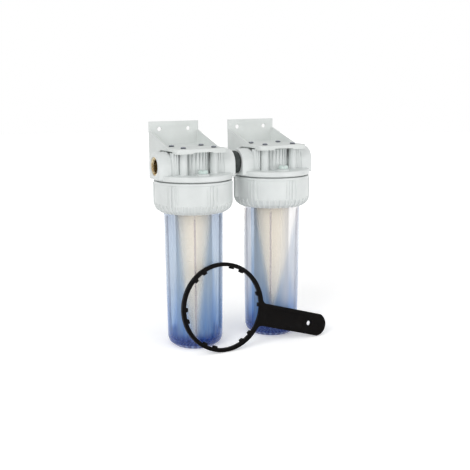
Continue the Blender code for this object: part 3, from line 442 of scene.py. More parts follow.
def ranged(tree, value, low, high, start=0.3, stop=0.7):
    """A value mapped smoothly from start..stop to low..high."""
    mapped = add(tree, "ShaderNodeMapRange", {"Value": value, "From Min": start, "From Max": stop,
                                              "To Min": low, "To Max": high}, interpolation_type="SMOOTHSTEP")
    return mapped.outputs[0]


def blended(tree, factor, one, other):
    """Two colours mixed by a factor; each is a code or a socket."""
    colours = [linear(c) if isinstance(c, str) else c for c in (one, other)]
    mix = add(tree, "ShaderNodeMix", {0: factor}, data_type="RGBA")
    for socket, colour in zip((mix.inputs[6], mix.inputs[7]), colours):
        if isinstance(colour, bpy.types.NodeSocket):
            tree.links.new(colour, socket)
        else:
            socket.default_value = colour
    return mix.outputs[2]


print("mid grey 808080 in linear light:", round(linear("808080")[0], 3))

# %% [markdown]
# ### Moulded plastic and rubber
#
# Most of the filter is moulded plastic. Such a surface is never one colour: it has two close tones in soft
# patches, gloss that wanders a little, and a fine grain that the steel of the mould leaves. A real grain is
# about 0.1 mm, too fine to show here, so it is drawn at 0.25 to 0.9 mm.

# %% Moulded plastic and rubber
COAT_ROUGHNESS = 0.12


def moulded(name, light, dark, patch_mm, gloss, grain_mm, depth_mm, coat=0.0, shine=0.5):
    """A surface of two close tones in soft patches, uneven gloss and a fine grain from its mould."""
    material, tree = blank(name)
    colour = blended(tree, ranged(tree, noise(tree, patch_mm), 0, 1), light, dark)
    roughness = ranged(tree, noise(tree, patch_mm * 0.6, 4.0), gloss[0], gloss[1])
    grain = noise(tree, grain_mm, 2.0)
    bump = add(tree, "ShaderNodeBump", {"Height": grain, "Strength": 1.0, "Distance": depth_mm * MM})
    body = add(tree, "ShaderNodeBsdfPrincipled", {
        "Base Color": colour, "Roughness": roughness, "Coat Weight": coat, "Coat Roughness": COAT_ROUGHNESS,
        "Specular IOR Level": shine, "Normal": bump.outputs[0]})
    add(tree, "ShaderNodeOutputMaterial", {"Surface": body.outputs[0]})
    return material


# Each call gives the name, the light and dark tone, the patches' size, the gloss from and to, then the grain's
# size and depth; all sizes are in mm.

# Glass-filled polypropylene, injection moulded, of the heads and nuts: satin, as the mould is lightly etched
head_white = moulded("satin_white_moulding", "DFE3E2", "D9DDDC", 26, (0.36, 0.46), 0.9, 0.012, coat=0.10)
# The same polypropylene from a coarser mould, of the brackets: less glossy and a touch greyer
bracket_white = moulded("matt_white_moulding", "DEE2E0", "D7DBD9", 34, (0.50, 0.62), 0.7, 0.014)
# Black glass-filled nylon of the spanner: nearly matt, as the fibres reach the surface
spanner_black = moulded("black_nylon_moulding", "0A0706", "060505", 14, (0.40, 0.58), 0.5, 0.020, shine=0.06)
# Dark grey polypropylene of the joint between the housings: plain and half matt
joint_grey = moulded("dark_grey_moulding", "3A403F", "2E3433", 12, (0.40, 0.55), 0.5, 0.012, shine=0.25)
# Pale green acetal of the vent knobs: smooth, with a slightly waxy gloss
vent_green = moulded("pale_green_moulding", "DBE5E1", "C8DBD5", 5, (0.32, 0.42), 0.4, 0.008, coat=0.15)
# Nitrile rubber of the seals: black and matt, from a smooth mould
rubber = moulded("black_seal_rubber", "1B1B1A", "121212", 3, (0.55, 0.72), 0.25, 0.006)
# Polypropylene foam of the gasket at each end of the cartridge: off-white, with open cells
gasket_white = moulded("white_foam_gasket", "E9E6DE", "DEDACF", 3, (0.70, 0.85), 0.5, 0.060)
# Plain white polypropylene of the cartridge's core
core_white = moulded("white_core_moulding", "ECEAE5", "E2DFD8", 12, (0.42, 0.55), 0.6, 0.010)
print("moulded:", [made.name for made in (head_white, bracket_white, spanner_black, joint_grey, vent_green)])
print("soft or hidden:", [made.name for made in (rubber, gasket_white, core_white)])

# %% [markdown]
# ### Zinc plating
#
# The screws are steel with bright zinc plating. Their colour is painted lighter on faces that look up, as painted
# light, and darker down their flanks and in the recess, as painted shade. The direction that a face looks in
# tells the two apart.

# %% Zinc plating
zinc, tree = blank("bright_zinc_plating")
way = add(tree, "ShaderNodeSeparateXYZ", {0: add(tree, "ShaderNodeNewGeometry").outputs["Normal"]})
# Faces that look up get the light tone as painted light; the others fall to the dark tone as painted shade
lit_from_above = ranged(tree, way.outputs["Z"], 0.0, 1.0, 0.45, 0.92)
bright = blended(tree, ranged(tree, noise(tree, 1.6), 0, 1), "D4D6DA", "AEB2B9")
# 60646C is the painted shade of the flanks and the recess
colour = blended(tree, lit_from_above, "60646C", bright)
bump = add(tree, "ShaderNodeBump", {"Height": noise(tree, 0.3, 2.0), "Strength": 1.0, "Distance": 0.006 * MM})
roughness = ranged(tree, noise(tree, 1.0, 4.0), 0.24, 0.40)
shader = add(tree, "ShaderNodeBsdfPrincipled", {"Base Color": colour, "Metallic": 1.0, "Roughness": roughness,
                                                "Normal": bump.outputs[0]})
add(tree, "ShaderNodeOutputMaterial", {"Surface": shader.outputs[0]})
print(zinc.name, "has", len(tree.nodes), "nodes")

# %% [markdown]
# ### Brass
#
# The inserts are free-cutting brass, turned from bar and left bright. The tool leaves fine rings round the
# axis, here the X axis, and handling leaves darker patches. Real tool marks are 0.2 mm apart and wouldn't show,
# so they are drawn wider.

# %% Brass
TOOL_MARKS = 2.2 * MM
HANDLED_MM = 11.0

brass, tree = blank("turned_brass")
place = add(tree, "ShaderNodeTexCoord")
rings = add(tree, "ShaderNodeTexWave", {"Vector": place.outputs["Object"], "Scale": 1 / TOOL_MARKS,
                                        "Distortion": 0.6, "Detail": 2.0},
            wave_type="BANDS", bands_direction="X")
colour = blended(tree, ranged(tree, noise(tree, HANDLED_MM, 2.0), 0, 1), "E6D8B4", "A88650")
bump = add(tree, "ShaderNodeBump", {"Height": rings.outputs["Fac"], "Strength": 0.4, "Distance": 0.012 * MM})
roughness = ranged(tree, noise(tree, 2.5), 0.14, 0.30)
shader = add(tree, "ShaderNodeBsdfPrincipled", {"Base Color": colour, "Metallic": 1.0, "Roughness": roughness,
                                                "Normal": bump.outputs[0]})
add(tree, "ShaderNodeOutputMaterial", {"Surface": shader.outputs[0]})
print(brass.name, "has", len(tree.nodes), "nodes")

# %% [markdown]
# ### Filter media
#
# The cartridge is melt-blown polypropylene, spun from molten fibre on a turning core. Each pass lays a shallow
# spiral, and the loose fibres make the surface woolly and matt. A fibre is thinner than a hair, so the wool is
# drawn in tufts of 0.8 mm.

# %% Filter media
PASS_WIDTH = 10.0 * MM
TUFT_MM = 0.8

media_felt, tree = blank("melt_blown_fibre")
place = add(tree, "ShaderNodeTexCoord")
turns = add(tree, "ShaderNodeTexWave", {"Vector": place.outputs["Object"], "Scale": 1 / PASS_WIDTH,
                                        "Distortion": 3.0, "Detail": 2.0, "Detail Scale": 2.0},
            wave_type="BANDS", bands_direction="Z")
fibre = noise(tree, TUFT_MM, 5.0, (1, 1, 2.5), 0.65)
height = add(tree, "ShaderNodeMath", {0: turns.outputs["Fac"], 1: 0.6, 2: fibre}, operation="MULTIPLY_ADD")
bump = add(tree, "ShaderNodeBump", {"Height": height.outputs[0], "Strength": 0.9, "Distance": 0.35 * MM})
colour = blended(tree, ranged(tree, fibre, 0, 1), "FFF9EB", "FFF4E2")
shader = add(tree, "ShaderNodeBsdfPrincipled", {"Base Color": colour, "Roughness": 0.92, "Sheen Weight": 0.25,
                                                "Specular IOR Level": 0.2, "Normal": bump.outputs[0]})
add(tree, "ShaderNodeOutputMaterial", {"Surface": shader.outputs[0]})
print(media_felt.name, "has", len(tree.nodes), "nodes")

# %% [markdown]
# ### Clear blue plastic
#
# The bowls are clear, tinted styrene-acrylonitrile from a polished mould, with a milky blue cast: pale where the
# wall is thin and lit, and deep blue in the thick base. A glass shader would show the tint, but not the
# milkiness, and it is slow and noisy. So the wall is a mix of a see-through tint and a pale body that light soaks
# through. Only the outer skin of the wall carries the cast, so that looking through one wall takes it once.
#
# Tongues of almost clear plastic run down from the rim, three round each bowl. They are partly real, a clearer
# wall through which the cream cartridge shows, and partly painted light: their cream tone stands for a warm
# reflection. The ribs inside are read by their distance from the axis.

# %% Where a point lies in the bowl's wall
SKIN = 0.0024              # depth of the outer skin, which carries the cast
RIB_DEPTH = 0.0044         # what lies deeper than this under the outer wall is a rib
RIB_ROOT_ANGLE = 0.040     # radians to each side of a rib's middle, where it meets the wall
RIBS_FROM = 0.0202         # height above the bowl's floor where the ribs start
FOOT_GLINT_STRIPES = 26           # light and dark stripes painted round the foot, painted glints as of facets catching the light
TONGUE_WAVE_MM = 16               # width of the waves in a tongue's edges, drawn out up and down


def calculator(tree):
    """A short way to write sums in one tree: calc("ADD", a, b) is the sum's socket."""
    def calc(operation, *values):
        return add(tree, "ShaderNodeMath", dict(enumerate(values)), operation=operation).outputs[0]
    return calc


def painted_light_tongue(tree, calc, angle, height, tongue, spread, tip):
    """1 inside the clear tongue of painted light, 0 outside it, and the angle from the tongue's middle."""
    spread = [math.radians(value) for value in spread]
    middle = (spread[0] - spread[1]) / 2
    third = math.pi / 3
    off = calc("WRAP", calc("SUBTRACT", angle, math.radians(tongue)), middle + third, middle - third)
    reach = calc("MAXIMUM", 0.0, calc("DIVIDE", calc("SUBTRACT", height, tip), NUT_FOOT - tip))
    wavy = calc("MULTIPLY", calc("SUBTRACT", noise(tree, TONGUE_WAVE_MM, 1.0, (1, 1, 0.12)), 0.5), 0.30)
    towards_left = calc("SUBTRACT", calc("MULTIPLY", reach, spread[0]), calc("ADD", off, wavy))
    towards_right = calc("ADD", calc("MULTIPLY", reach, spread[1]), calc("ADD", off, wavy))
    return ranged(tree, calc("MINIMUM", towards_left, towards_right), 0.0, 1.0, -0.08, 0.20), off


def depth_in_wall(calc, sideways, forward, height):
    """How far a point lies under the outer wall, which leans with the mould's draft."""
    across = calc("SQRT", calc("ADD", calc("MULTIPLY", sideways, sideways), calc("MULTIPLY", forward, forward)))
    draft = (BOWL_TOP - BOWL_BASE) / (RIM_UNDERSIDE - BOWL_HEEL)
    rise = calc("MULTIPLY", calc("SUBTRACT", height, BOWL_HEEL), draft)
    return calc("SUBTRACT", calc("ADD", BOWL_BASE, rise), across)


print("skin that carries the cast, mm:", SKIN / MM)

# %% [markdown]
# The plastic's numbers come next. A band is two heights in metres between which something fades. The haze
# numbers are shares of the light that meet the milky body instead of passing through: on plain wall, what a
# clear tongue takes off, and what a grazing look and the side painted paler as lit add, then in a rib, its root
# and the base.

# %% Clear blue plastic
BASE_BAND, SIDE_LIGHT_BAND, LOW_BAND, SHADE_BAND = (0.012, 0.030), (0.02, 0.08), (0.015, 0.135), (0.155, 0.235)
HAZE, HAZE_CLEARED, HAZE_GRAZING, HAZE_SIDE_LIT = 0.42, 0.20, 0.20, 0.25
HAZE_RIB, HAZE_RIB_ROOT, HAZE_BASE, HAZE_BASE_SKIN = 0.55, 0.35, 0.85, 0.42
STREAK_MM, STREAKS = 5, 0.40
SOAKED, SOAKED_CLEARED = 0.50, 0.25      # share of the body's light that soaks through from behind
PLASTIC_IOR, PLASTIC_ROUGHNESS, POLISH_ROUGHNESS = 1.35, 0.28, 0.05


def bowl_plastic(name, side, tongue, spread, tip, side_light):
    """Clear blue plastic. A clear tongue of painted light faces tongue degrees from -Y towards -X, and spreads by
    the two angles of spread at the nut; its sides meet at the height tip, which may lie below the bowl. Beside it,
    to the right, the wall is painted paler by side_light, as painted light on that side."""
    material, tree = blank(name)
    calc = calculator(tree)
    place = add(tree, "ShaderNodeTexCoord")
    axes = add(tree, "ShaderNodeSeparateXYZ", {0: place.outputs["Object"]})
    height = axes.outputs["Z"]
    sideways = calc("SUBTRACT", AXIS_X[side], axes.outputs["X"])
    forward = calc("MULTIPLY", axes.outputs["Y"], -1.0)
    angle = calc("ARCTAN2", sideways, forward)

    # Places: the clear tongue, the side painted paler as lit, the ribs and their roots, the outer skin, the thick
    # base
    clear, off = painted_light_tongue(tree, calc, angle, height, tongue, spread, tip)
    side_light_share = ranged(tree, calc("MULTIPLY", off, -1.0), 0.0, side_light, 0.12, 0.60)
    painted_side_light = calc("MULTIPLY", side_light_share, ranged(tree, height, 0.0, 1.0, *SIDE_LIGHT_BAND))
    to_rib = calc("WRAP", calc("SUBTRACT", angle, math.radians(BOWL_TURN[side])), math.pi / 4, -math.pi / 4)
    rib_root = calc("LESS_THAN", calc("ABSOLUTE", to_rib), RIB_ROOT_ANGLE)
    depth = depth_in_wall(calc, sideways, forward, height)
    outer = calc("LESS_THAN", depth, SKIN)
    rib = calc("MULTIPLY", calc("GREATER_THAN", depth, RIB_DEPTH), calc("GREATER_THAN", height, RIBS_FROM))
    base = ranged(tree, height, 1.0, 0.0, *BASE_BAND)
    inner = calc("MULTIPLY", calc("SUBTRACT", 1.0, outer), calc("GREATER_THAN", height, RIBS_FROM))

    # Colour of the milky body: deeper blue low down, greyer under the nut as painted shade of the nut, with pale
    # streaks along the flow
    streaks = ranged(tree, noise(tree, STREAK_MM, 2.0, (1, 1, 0.04)), 0.0, STREAKS)
    low = ranged(tree, height, 1.0, 0.0, *LOW_BAND)
    shade = ranged(tree, height, 0.0, 1.0, *SHADE_BAND)
    tone = blended(tree, shade, blended(tree, low, "AFC3DC", "6E9EDA"), "9AA8BE")
    tone = blended(tree, streaks, tone, "CEDDEC")
    # The tongue's cream FFF9EE in the wall's body is painted light, a warm reflection
    tone = blended(tree, calc("MULTIPLY", clear, 0.95), tone, "FFF9EE")
    # Pale E6E6EE to the right of the tongue is painted light on that side
    tone = blended(tree, calc("MULTIPLY", painted_side_light, calc("SUBTRACT", 0.90, streaks)), tone, "E6E6EE")
    # Stripes round the thick base: the base's deep blue is its own, and the light and dark turns round the foot are
    # painted glints and shade of facets that the smooth turned foot doesn't have
    star = calc("SINE", calc("MULTIPLY", angle, float(FOOT_GLINT_STRIPES)))
    star = calc("MULTIPLY", ranged(tree, star, 0.0, 1.0, -0.2, 0.8),
                calc("SUBTRACT", 1.0, calc("MULTIPLY", outer, 0.65)))
    tone = blended(tree, base, tone, blended(tree, star, "38549E", "86A6E2"))
    tone = blended(tree, calc("MAXIMUM", rib, calc("MULTIPLY", inner, rib_root)), tone, "C2B7BF")

    # Haze, the share of that body: more at a grazing look, on the side painted paler as lit, in the ribs and in the
    # base
    facing = add(tree, "ShaderNodeLayerWeight", {"Blend": 0.30}).outputs["Facing"]
    haze = calc("SUBTRACT", HAZE, calc("MULTIPLY", clear, HAZE_CLEARED))
    haze = calc("ADD", haze, calc("MULTIPLY", ranged(tree, facing, 0.0, 1.0, 0.4, 0.95), HAZE_GRAZING))
    haze = calc("ADD", haze, calc("MULTIPLY", painted_side_light, HAZE_SIDE_LIT))
    haze = calc("MULTIPLY", haze, outer)
    roots = calc("MULTIPLY", rib_root, calc("MULTIPLY", inner, HAZE_RIB_ROOT))
    haze = calc("MAXIMUM", haze, calc("MAXIMUM", calc("MULTIPLY", rib, HAZE_RIB), roots))
    in_base = calc("SUBTRACT", HAZE_BASE, calc("MULTIPLY", outer, HAZE_BASE_SKIN))
    haze = calc("MAXIMUM", haze, calc("MULTIPLY", base, in_base))

    # Tint of what is seen through the skin; the rest of the wall adds none
    # Under the nut the tint turns to greyer BAC7DB, painted shade of the nut
    tint = blended(tree, shade, blended(tree, low, "D1DFF0", "A6C6EE"), "BAC7DB")
    tint = blended(tree, calc("MAXIMUM", clear, calc("SUBTRACT", 1.0, outer)), tint, "FFFFFF")
    # The tint clears towards white on the painted lit side as well
    tint = blended(tree, calc("MULTIPLY", painted_side_light, 0.60), tint, "FFFFFF")
    tint = blended(tree, base, tint, "B4C8EE")

    see_through = add(tree, "ShaderNodeBsdfTransparent", {"Color": tint})
    front = add(tree, "ShaderNodeBsdfPrincipled", {"Base Color": tone, "Roughness": PLASTIC_ROUGHNESS})
    through = add(tree, "ShaderNodeBsdfTranslucent", {"Color": tone})
    from_behind = calc("SUBTRACT", SOAKED, calc("MULTIPLY", clear, SOAKED_CLEARED))
    body = add(tree, "ShaderNodeMixShader", {0: from_behind, 1: front.outputs[0], 2: through.outputs[0]})
    inside = add(tree, "ShaderNodeMixShader", {0: haze, 1: see_through.outputs[0], 2: body.outputs[0]})

    # The polished surface reflects only to the air side, because the wall's inner side is seen through it
    gloss = add(tree, "ShaderNodeBsdfGlossy", {"Color": (1, 1, 1, 1), "Roughness": POLISH_ROUGHNESS})
    seen_from_air = calc("SUBTRACT", 1.0, add(tree, "ShaderNodeNewGeometry").outputs["Backfacing"])
    polish = calc("MULTIPLY", add(tree, "ShaderNodeFresnel", {"IOR": PLASTIC_IOR}).outputs[0], seen_from_air)
    surface = add(tree, "ShaderNodeMixShader", {0: polish, 1: inside.outputs[0], 2: gloss.outputs[0]})
    add(tree, "ShaderNodeOutputMaterial", {"Surface": surface.outputs[0]})
    print(name, "has", len(tree.nodes), "nodes")
    return material


bowl_blue = {"left": bowl_plastic("clear_blue_plastic_left", "left", 27.5, (36, 37), -0.056, 0.0),
             "right": bowl_plastic("clear_blue_plastic_right", "right", 29.5, (38, 66), 0.040, 0.8)}

# %% [markdown]
# ## Camera, light and floor
#
# The camera's place and lens were fitted to edges of the object in the photograph. Its frame is 470 pixels wide,
# and its focal length is given in those pixels.

# %% Camera
FRAME_PIXELS, FOCAL_PIXELS, SENSOR_MM = 470, 780.0, 36
CAMERA_PLACE = Vector((-0.5917, -1.1502, 0.4249))
azimuth, pitch, roll = math.radians(27.332), math.radians(10.863), math.radians(-0.305)


def from_frame(right, up, back, place):
    """The matrix of an object whose own axes point right, up and back, at a place."""
    matrix = Matrix((right, up, back)).transposed().to_4x4()
    matrix.translation = place
    return matrix


forward = Vector((math.sin(azimuth) * math.cos(pitch), math.cos(azimuth) * math.cos(pitch), -math.sin(pitch)))
level = Vector((math.cos(azimuth), -math.sin(azimuth), 0))
upright = level.cross(forward)
camera_data = bpy.data.cameras.new("camera")
camera_data.sensor_width, camera_data.lens = SENSOR_MM, FOCAL_PIXELS / FRAME_PIXELS * SENSOR_MM
camera_data.clip_end = 50
camera = bpy.data.objects.new("camera", camera_data)
camera.matrix_world = from_frame(level * math.cos(roll) + upright * math.sin(roll),
                                 upright * math.cos(roll) - level * math.sin(roll), -forward, CAMERA_PLACE)
bpy.context.scene.collection.objects.link(camera)
bpy.context.scene.camera = camera
bpy.context.scene.view_settings.view_transform = "Standard"
print("camera lens, mm:", round(camera_data.lens, 2))

# %% [markdown]
# ### Lamps and world
#
# The light is a plain soft studio: a white dome, one broad lamp from the upper left front, and two weaker ones
# from the right and from low in front, which light the cartridges inside the bowls. The dome lights the object at
# a plain level, and looks pure white to the camera and in reflections.

# %% Lamps and world
def lamp(name, place, aim, size, watts):
    """A round soft lamp at a place, turned to its aim; its size is its width in metres."""
    data = bpy.data.lights.new(name, "AREA")
    data.shape, data.size, data.energy = "DISK", size, watts
    made = bpy.data.objects.new(name, data)
    made.location = place
    made.rotation_euler = (Vector(aim) - Vector(place)).to_track_quat("-Z", "Y").to_euler()
    bpy.context.scene.collection.objects.link(made)


def seen(tree):
    """1 for rays that show this surface itself, to the camera, in gloss or through glass, and 0 for its light."""
    rays = add(tree, "ShaderNodeLightPath")
    either = add(tree, "ShaderNodeMath", {0: rays.outputs["Is Camera Ray"], 1: rays.outputs["Is Glossy Ray"]},
                 operation="MAXIMUM")
    return add(tree, "ShaderNodeMath", {0: either.outputs[0], 1: rays.outputs["Is Transmission Ray"]},
               operation="MAXIMUM").outputs[0]


HEAD_LEVEL, BOWL_LEVEL = (0, 0, 0.18), (0, 0, 0.15)
DOME_STRENGTH = 0.67
lamp("key", (-1.45, -0.95, 1.15), HEAD_LEVEL, size=1.2, watts=9.2)
lamp("fill", (1.5, -0.9, 0.9), HEAD_LEVEL, size=1.4, watts=2.2)
lamp("low front", (0.45, -1.5, 0.16), BOWL_LEVEL, size=1.0, watts=6.0)

world = bpy.data.worlds.new("studio")
world.use_nodes = True
tree = world.node_tree
tree.nodes.clear()
shown = seen(tree)
light = add(tree, "ShaderNodeBackground", {"Color": (1, 1, 1, 1), "Strength": DOME_STRENGTH})
white = add(tree, "ShaderNodeBackground", {"Color": (1, 1, 1, 1), "Strength": 1.0})
both = add(tree, "ShaderNodeMixShader", {0: shown, 1: light.outputs[0], 2: white.outputs[0]})
add(tree, "ShaderNodeOutputWorld", {"Surface": both.outputs[0]})
bpy.context.scene.world = world
print("lamps:", len(bpy.data.lights))

# %% [markdown]
# ### Floor
#
# The object stands on white paper. Near it the paper shows the object's soft shadow, and further out it glows to
# the camera, so that it runs into the white dome with no horizon.

# %% Floor
FLOOR_RADIUS = 6.0
FLOOR_GAP = 0.0002         # below the feet, so that the two never share a plane
SHADOW_REACH, WHITE_FROM = 0.28, 0.60

floor_paint, tree = blank("white_paper_floor")
shown = seen(tree)
place = add(tree, "ShaderNodeTexCoord")
away = add(tree, "ShaderNodeVectorMath", {0: place.outputs["Object"]}, operation="LENGTH")
strength = ranged(tree, away.outputs["Value"], SHADOW_REACH, WHITE_FROM, 0.35, 1.3)
lift = add(tree, "ShaderNodeMath", {0: shown, 1: strength}, operation="MULTIPLY")
paper = blended(tree, ranged(tree, noise(tree, 240), 0, 1), "FCFCFC", "F8F8F8")
matt = add(tree, "ShaderNodeBsdfDiffuse", {"Color": paper, "Roughness": 0.6})
glow = add(tree, "ShaderNodeEmission", {"Color": (1, 1, 1, 1), "Strength": lift.outputs[0]})
sum_up = add(tree, "ShaderNodeAddShader", {0: matt.outputs[0], 1: glow.outputs[0]})
add(tree, "ShaderNodeOutputMaterial", {"Surface": sum_up.outputs[0]})
disc = bmesh.new()
bmesh.ops.create_circle(disc, cap_ends=True, radius=FLOOR_RADIUS, segments=64)
floor = on_bench(disc)
floor.name = floor.data.name = "floor"
floor.data.materials.append(floor_paint)
floor.location.z = -FLOOR_GAP
print("floor, m across:", 2 * FLOOR_RADIUS)

# %% [markdown]
# ## Heads
#
# The head is one white moulding. A round flange covers the nut, and a threaded skirt below it takes the nut. On
# top stand the port bosses left and right, which taper into a round neck between them, a finned drum over the
# water's way out, and four columns to which the bracket's shelf is screwed. Both heads come from one mould, so
# one mesh serves for both. Its forms run into each other, so they are united into one skin.

# %% The head's round body
SKIRT_BORE, FLANGE_RADIUS = 0.0490, 0.0643
NOZZLE_FOOT, NOZZLE_STEP, NOZZLE_TOP = 0.2539, 0.2617, 0.2816
NOZZLE_RADIUS, NOZZLE_COLLAR = 0.0118, 0.0190
DRUM_FOOT_RADIUS, DRUM_RADIUS, DRUM_SHOULDER = 0.0262, 0.0238, 0.0060
SUNK = 0.004               # how far what stands on the flange reaches into it


def head_body():
    """The flange with its skirt, then the nozzle that holds the cartridge, and the drum without its fins."""
    body = spindle([
        (0, FLANGE_FOOT), (SKIRT_BORE, FLANGE_FOOT), (SKIRT_BORE, SKIRT_FOOT, 0.0008),
        (SKIRT_RADIUS, SKIRT_FOOT, 0.0008), (SKIRT_RADIUS, FLANGE_FOOT, 0.0008),
        (FLANGE_RADIUS, FLANGE_FOOT, 0.0008), (FLANGE_RADIUS, FLANGE_TOP, 0.0018), (0, FLANGE_TOP)], 112)
    nozzle = spindle([(0, NOZZLE_FOOT), (NOZZLE_RADIUS, NOZZLE_FOOT, 0.0008), (NOZZLE_RADIUS, NOZZLE_STEP, 0.0006),
                      (NOZZLE_COLLAR, NOZZLE_STEP, 0.0008), (NOZZLE_COLLAR, NOZZLE_TOP), (0, NOZZLE_TOP)], 48)
    drum = spindle([(0, FLANGE_TOP - SUNK), (DRUM_FOOT_RADIUS, FLANGE_TOP - SUNK),
                    (DRUM_FOOT_RADIUS, FLANGE_TOP + 0.004), (DRUM_RADIUS, HEAD_TOP - DRUM_SHOULDER),
                    (DRUM_RADIUS, HEAD_TOP), (0, HEAD_TOP)], 72)
    return body, [nozzle, drum]


def head_columns():
    """The four columns, each with a foot a little wider than its shaft."""
    columns = []
    for x, y in COLUMNS:
        column = spindle([(0, FLANGE_TOP - SUNK), (0.0074, FLANGE_TOP - SUNK), (0.0074, FLANGE_TOP, 0.0006),
                          (0.0065, FLANGE_TOP + 0.0012, 0.0006), (0.0061, HEAD_TOP, 0.0005), (0, HEAD_TOP)], 32)
        columns.append(moved(column, (x, y, 0)))
    return columns


print("height of the columns, mm:", round((HEAD_TOP - FLANGE_TOP) / MM, 1))

# %% The head's ports and vent seat
BOSS_RADIUS, BOSS_LENGTH, BOSS_EDGE = 0.0222, 0.0211, 0.0014
NECK_RADIUS, BARREL_RADIUS, BARREL_REACH = 0.0200, 0.0184, 0.0535
VENT_SEAT_RADIUS, VENT_SEAT_TOP = 0.0098, FLANGE_TOP + 0.0024
# The boss tapers into the neck in steps of (share of its section, distance past the boss's inner end)
TAPER = (0.97, 0.002), (0.94, -0.001), (0.87, -0.005), (0.82, -0.010)


def boss_outline():
    """A port boss's section: round above the port's axis, upright sides and a flat foot below it."""
    foot = FLANGE_FOOT + 0.0014 - PORT_HEIGHT
    half = BOSS_RADIUS
    upper = [(half * math.cos(math.pi * i / 28), half * math.sin(math.pi * i / 28)) for i in range(29)]
    lower = rounded([(-half, 0.0001, 0), (-half, foot, 0.0024), (half, foot, 0.0024), (half, 0.0001, 0)],
                    closed=False, steps=6)
    return upper + lower[1:-1]


def head_ports():
    """The neck's barrel along X, and at each end a port boss with its taper into the neck."""
    barrel = spindle([(0, -BARREL_REACH), (BARREL_RADIUS, -BARREL_REACH), (BARREL_RADIUS, BARREL_REACH),
                      (0, BARREL_REACH)], 56)
    ports = [moved(moved(barrel, turn=90, axis="Y"), (0, 0, PORT_HEIGHT))]
    outline, inner = boss_outline(), PORT_REACH - BOSS_LENGTH
    for side in (-1, 1):
        boss = prism(outline, inner, PORT_REACH, bevel=BOSS_EDGE)
        taper = loft([[(y * share, z * (share if z > 0 else 1), inner + past) for y, z in outline]
                      for share, past in TAPER])
        ports += [moved(moved(form, turn=90, axis="X"), (0, 0, PORT_HEIGHT), turn=side * 90)
                  for form in (boss, taper)]
    return ports


def vent_seat():
    seat = spindle([(0, FLANGE_TOP - SUNK), (VENT_SEAT_RADIUS, FLANGE_TOP - SUNK),
                    (VENT_SEAT_RADIUS, VENT_SEAT_TOP, 0.0007), (0, VENT_SEAT_TOP)], 40)
    return moved(seat, (0, -VENT_OFFSET, 0))


print("from port face to port face, mm:", round(2 * PORT_REACH / MM, 1))

# %% [markdown]
# ### The hollows of the head
#
# What the water and the fasteners need is cut out again: the way down into the bowl, the way up from the
# cartridge, the two ports with the seats of their brass inserts, the vent's hole, and the screws' pilot holes.

# %% The head's hollows
PAST = 0.002               # how far a cut reaches past the face that it opens
INLET_OFFSET = -0.0355     # of the way down, from the housing's axis
WATER_BORE = 0.0115


def bore(radius, low, high, steps):
    """A round hole's form along Z."""
    return spindle([(0, low), (radius, low), (radius, high), (0, high)], steps)


def head_hollows():
    cuts = [moved(bore(0.0060, 0.2754, PORT_HEIGHT, 24), (INLET_OFFSET, 0, 0)),
            bore(0.0085, 0.2519, PORT_HEIGHT, 28)]
    for side, inner in ((-1, 0.0240), (1, -WATER_BORE)):
        seat, wide = PORT_REACH - INSERT_RECESS - 0.0183, INSERT_RADIUS + 0.0003
        way = spindle([(0, inner), (WATER_BORE, inner), (WATER_BORE, seat), (wide, seat),
                       (wide, PORT_REACH - 0.0006), (wide + 0.0010, PORT_REACH + PAST), (0, PORT_REACH + PAST)], 44)
        cuts.append(moved(moved(way, turn=side * 90, axis="Y"), (0, 0, PORT_HEIGHT)))
    for radius, low in ((0.0026, FLANGE_FOOT - PAST), (0.0052, VENT_SEAT_TOP - 0.0017)):
        cuts.append(moved(bore(radius, low, VENT_SEAT_TOP + PAST, 24), (0, -VENT_OFFSET, 0)))
    for x, y in COLUMNS:
        cuts.append(moved(bore(0.0023, 0.3100, HEAD_TOP + PAST, 16), (x, y, 0)))
    return cuts


body, round_parts = head_body()
head_shape = united(body, round_parts + head_columns() + head_ports() + [vent_seat()])
head_shape = united(head_shape, head_hollows(), "DIFFERENCE")
print("one head's skin:", len(head_shape.faces), "faces")

# %% [markdown]
# ### Fins
#
# Fins keep a thick moulding from sinking as it cools. Twenty-six stand round the drum, placed by the node tree,
# and three bars with low webs between them stand against the neck on each side of it, front and back.

# %% Fins and the finished heads
DRUM_FINS = 26
FIN_EDGE = 0.0004
FIN_ROWS = (0.0, 0.25, 0.45, 0.6, 0.72, 0.82, 0.91, 1.0)     # shares of a fin's height
FIN_FOOT, NECK_FIN_ROOT = FLANGE_TOP - 0.001, 0.0110
NECK_FIN_PLACES = (0.0345, 0.0385, 0.0425)                   # along X, from the housing's axis


def fin(root, reach, high, narrow, wide):
    """One upright fin at +X, narrow at its head and wide at its foot, where it runs into its neighbours."""
    rings = []
    for share in FIN_ROWS:
        height = FIN_FOOT + (high - FIN_FOOT) * share
        half = narrow + (wide - narrow) * (1 - share) ** 0.8
        rings.append([(root, -half, height), (reach - FIN_EDGE, -half, height), (reach, -half * 0.6, height),
                      (reach, half * 0.6, height), (reach - FIN_EDGE, half, height), (root, half, height)])
    return loft(rings)


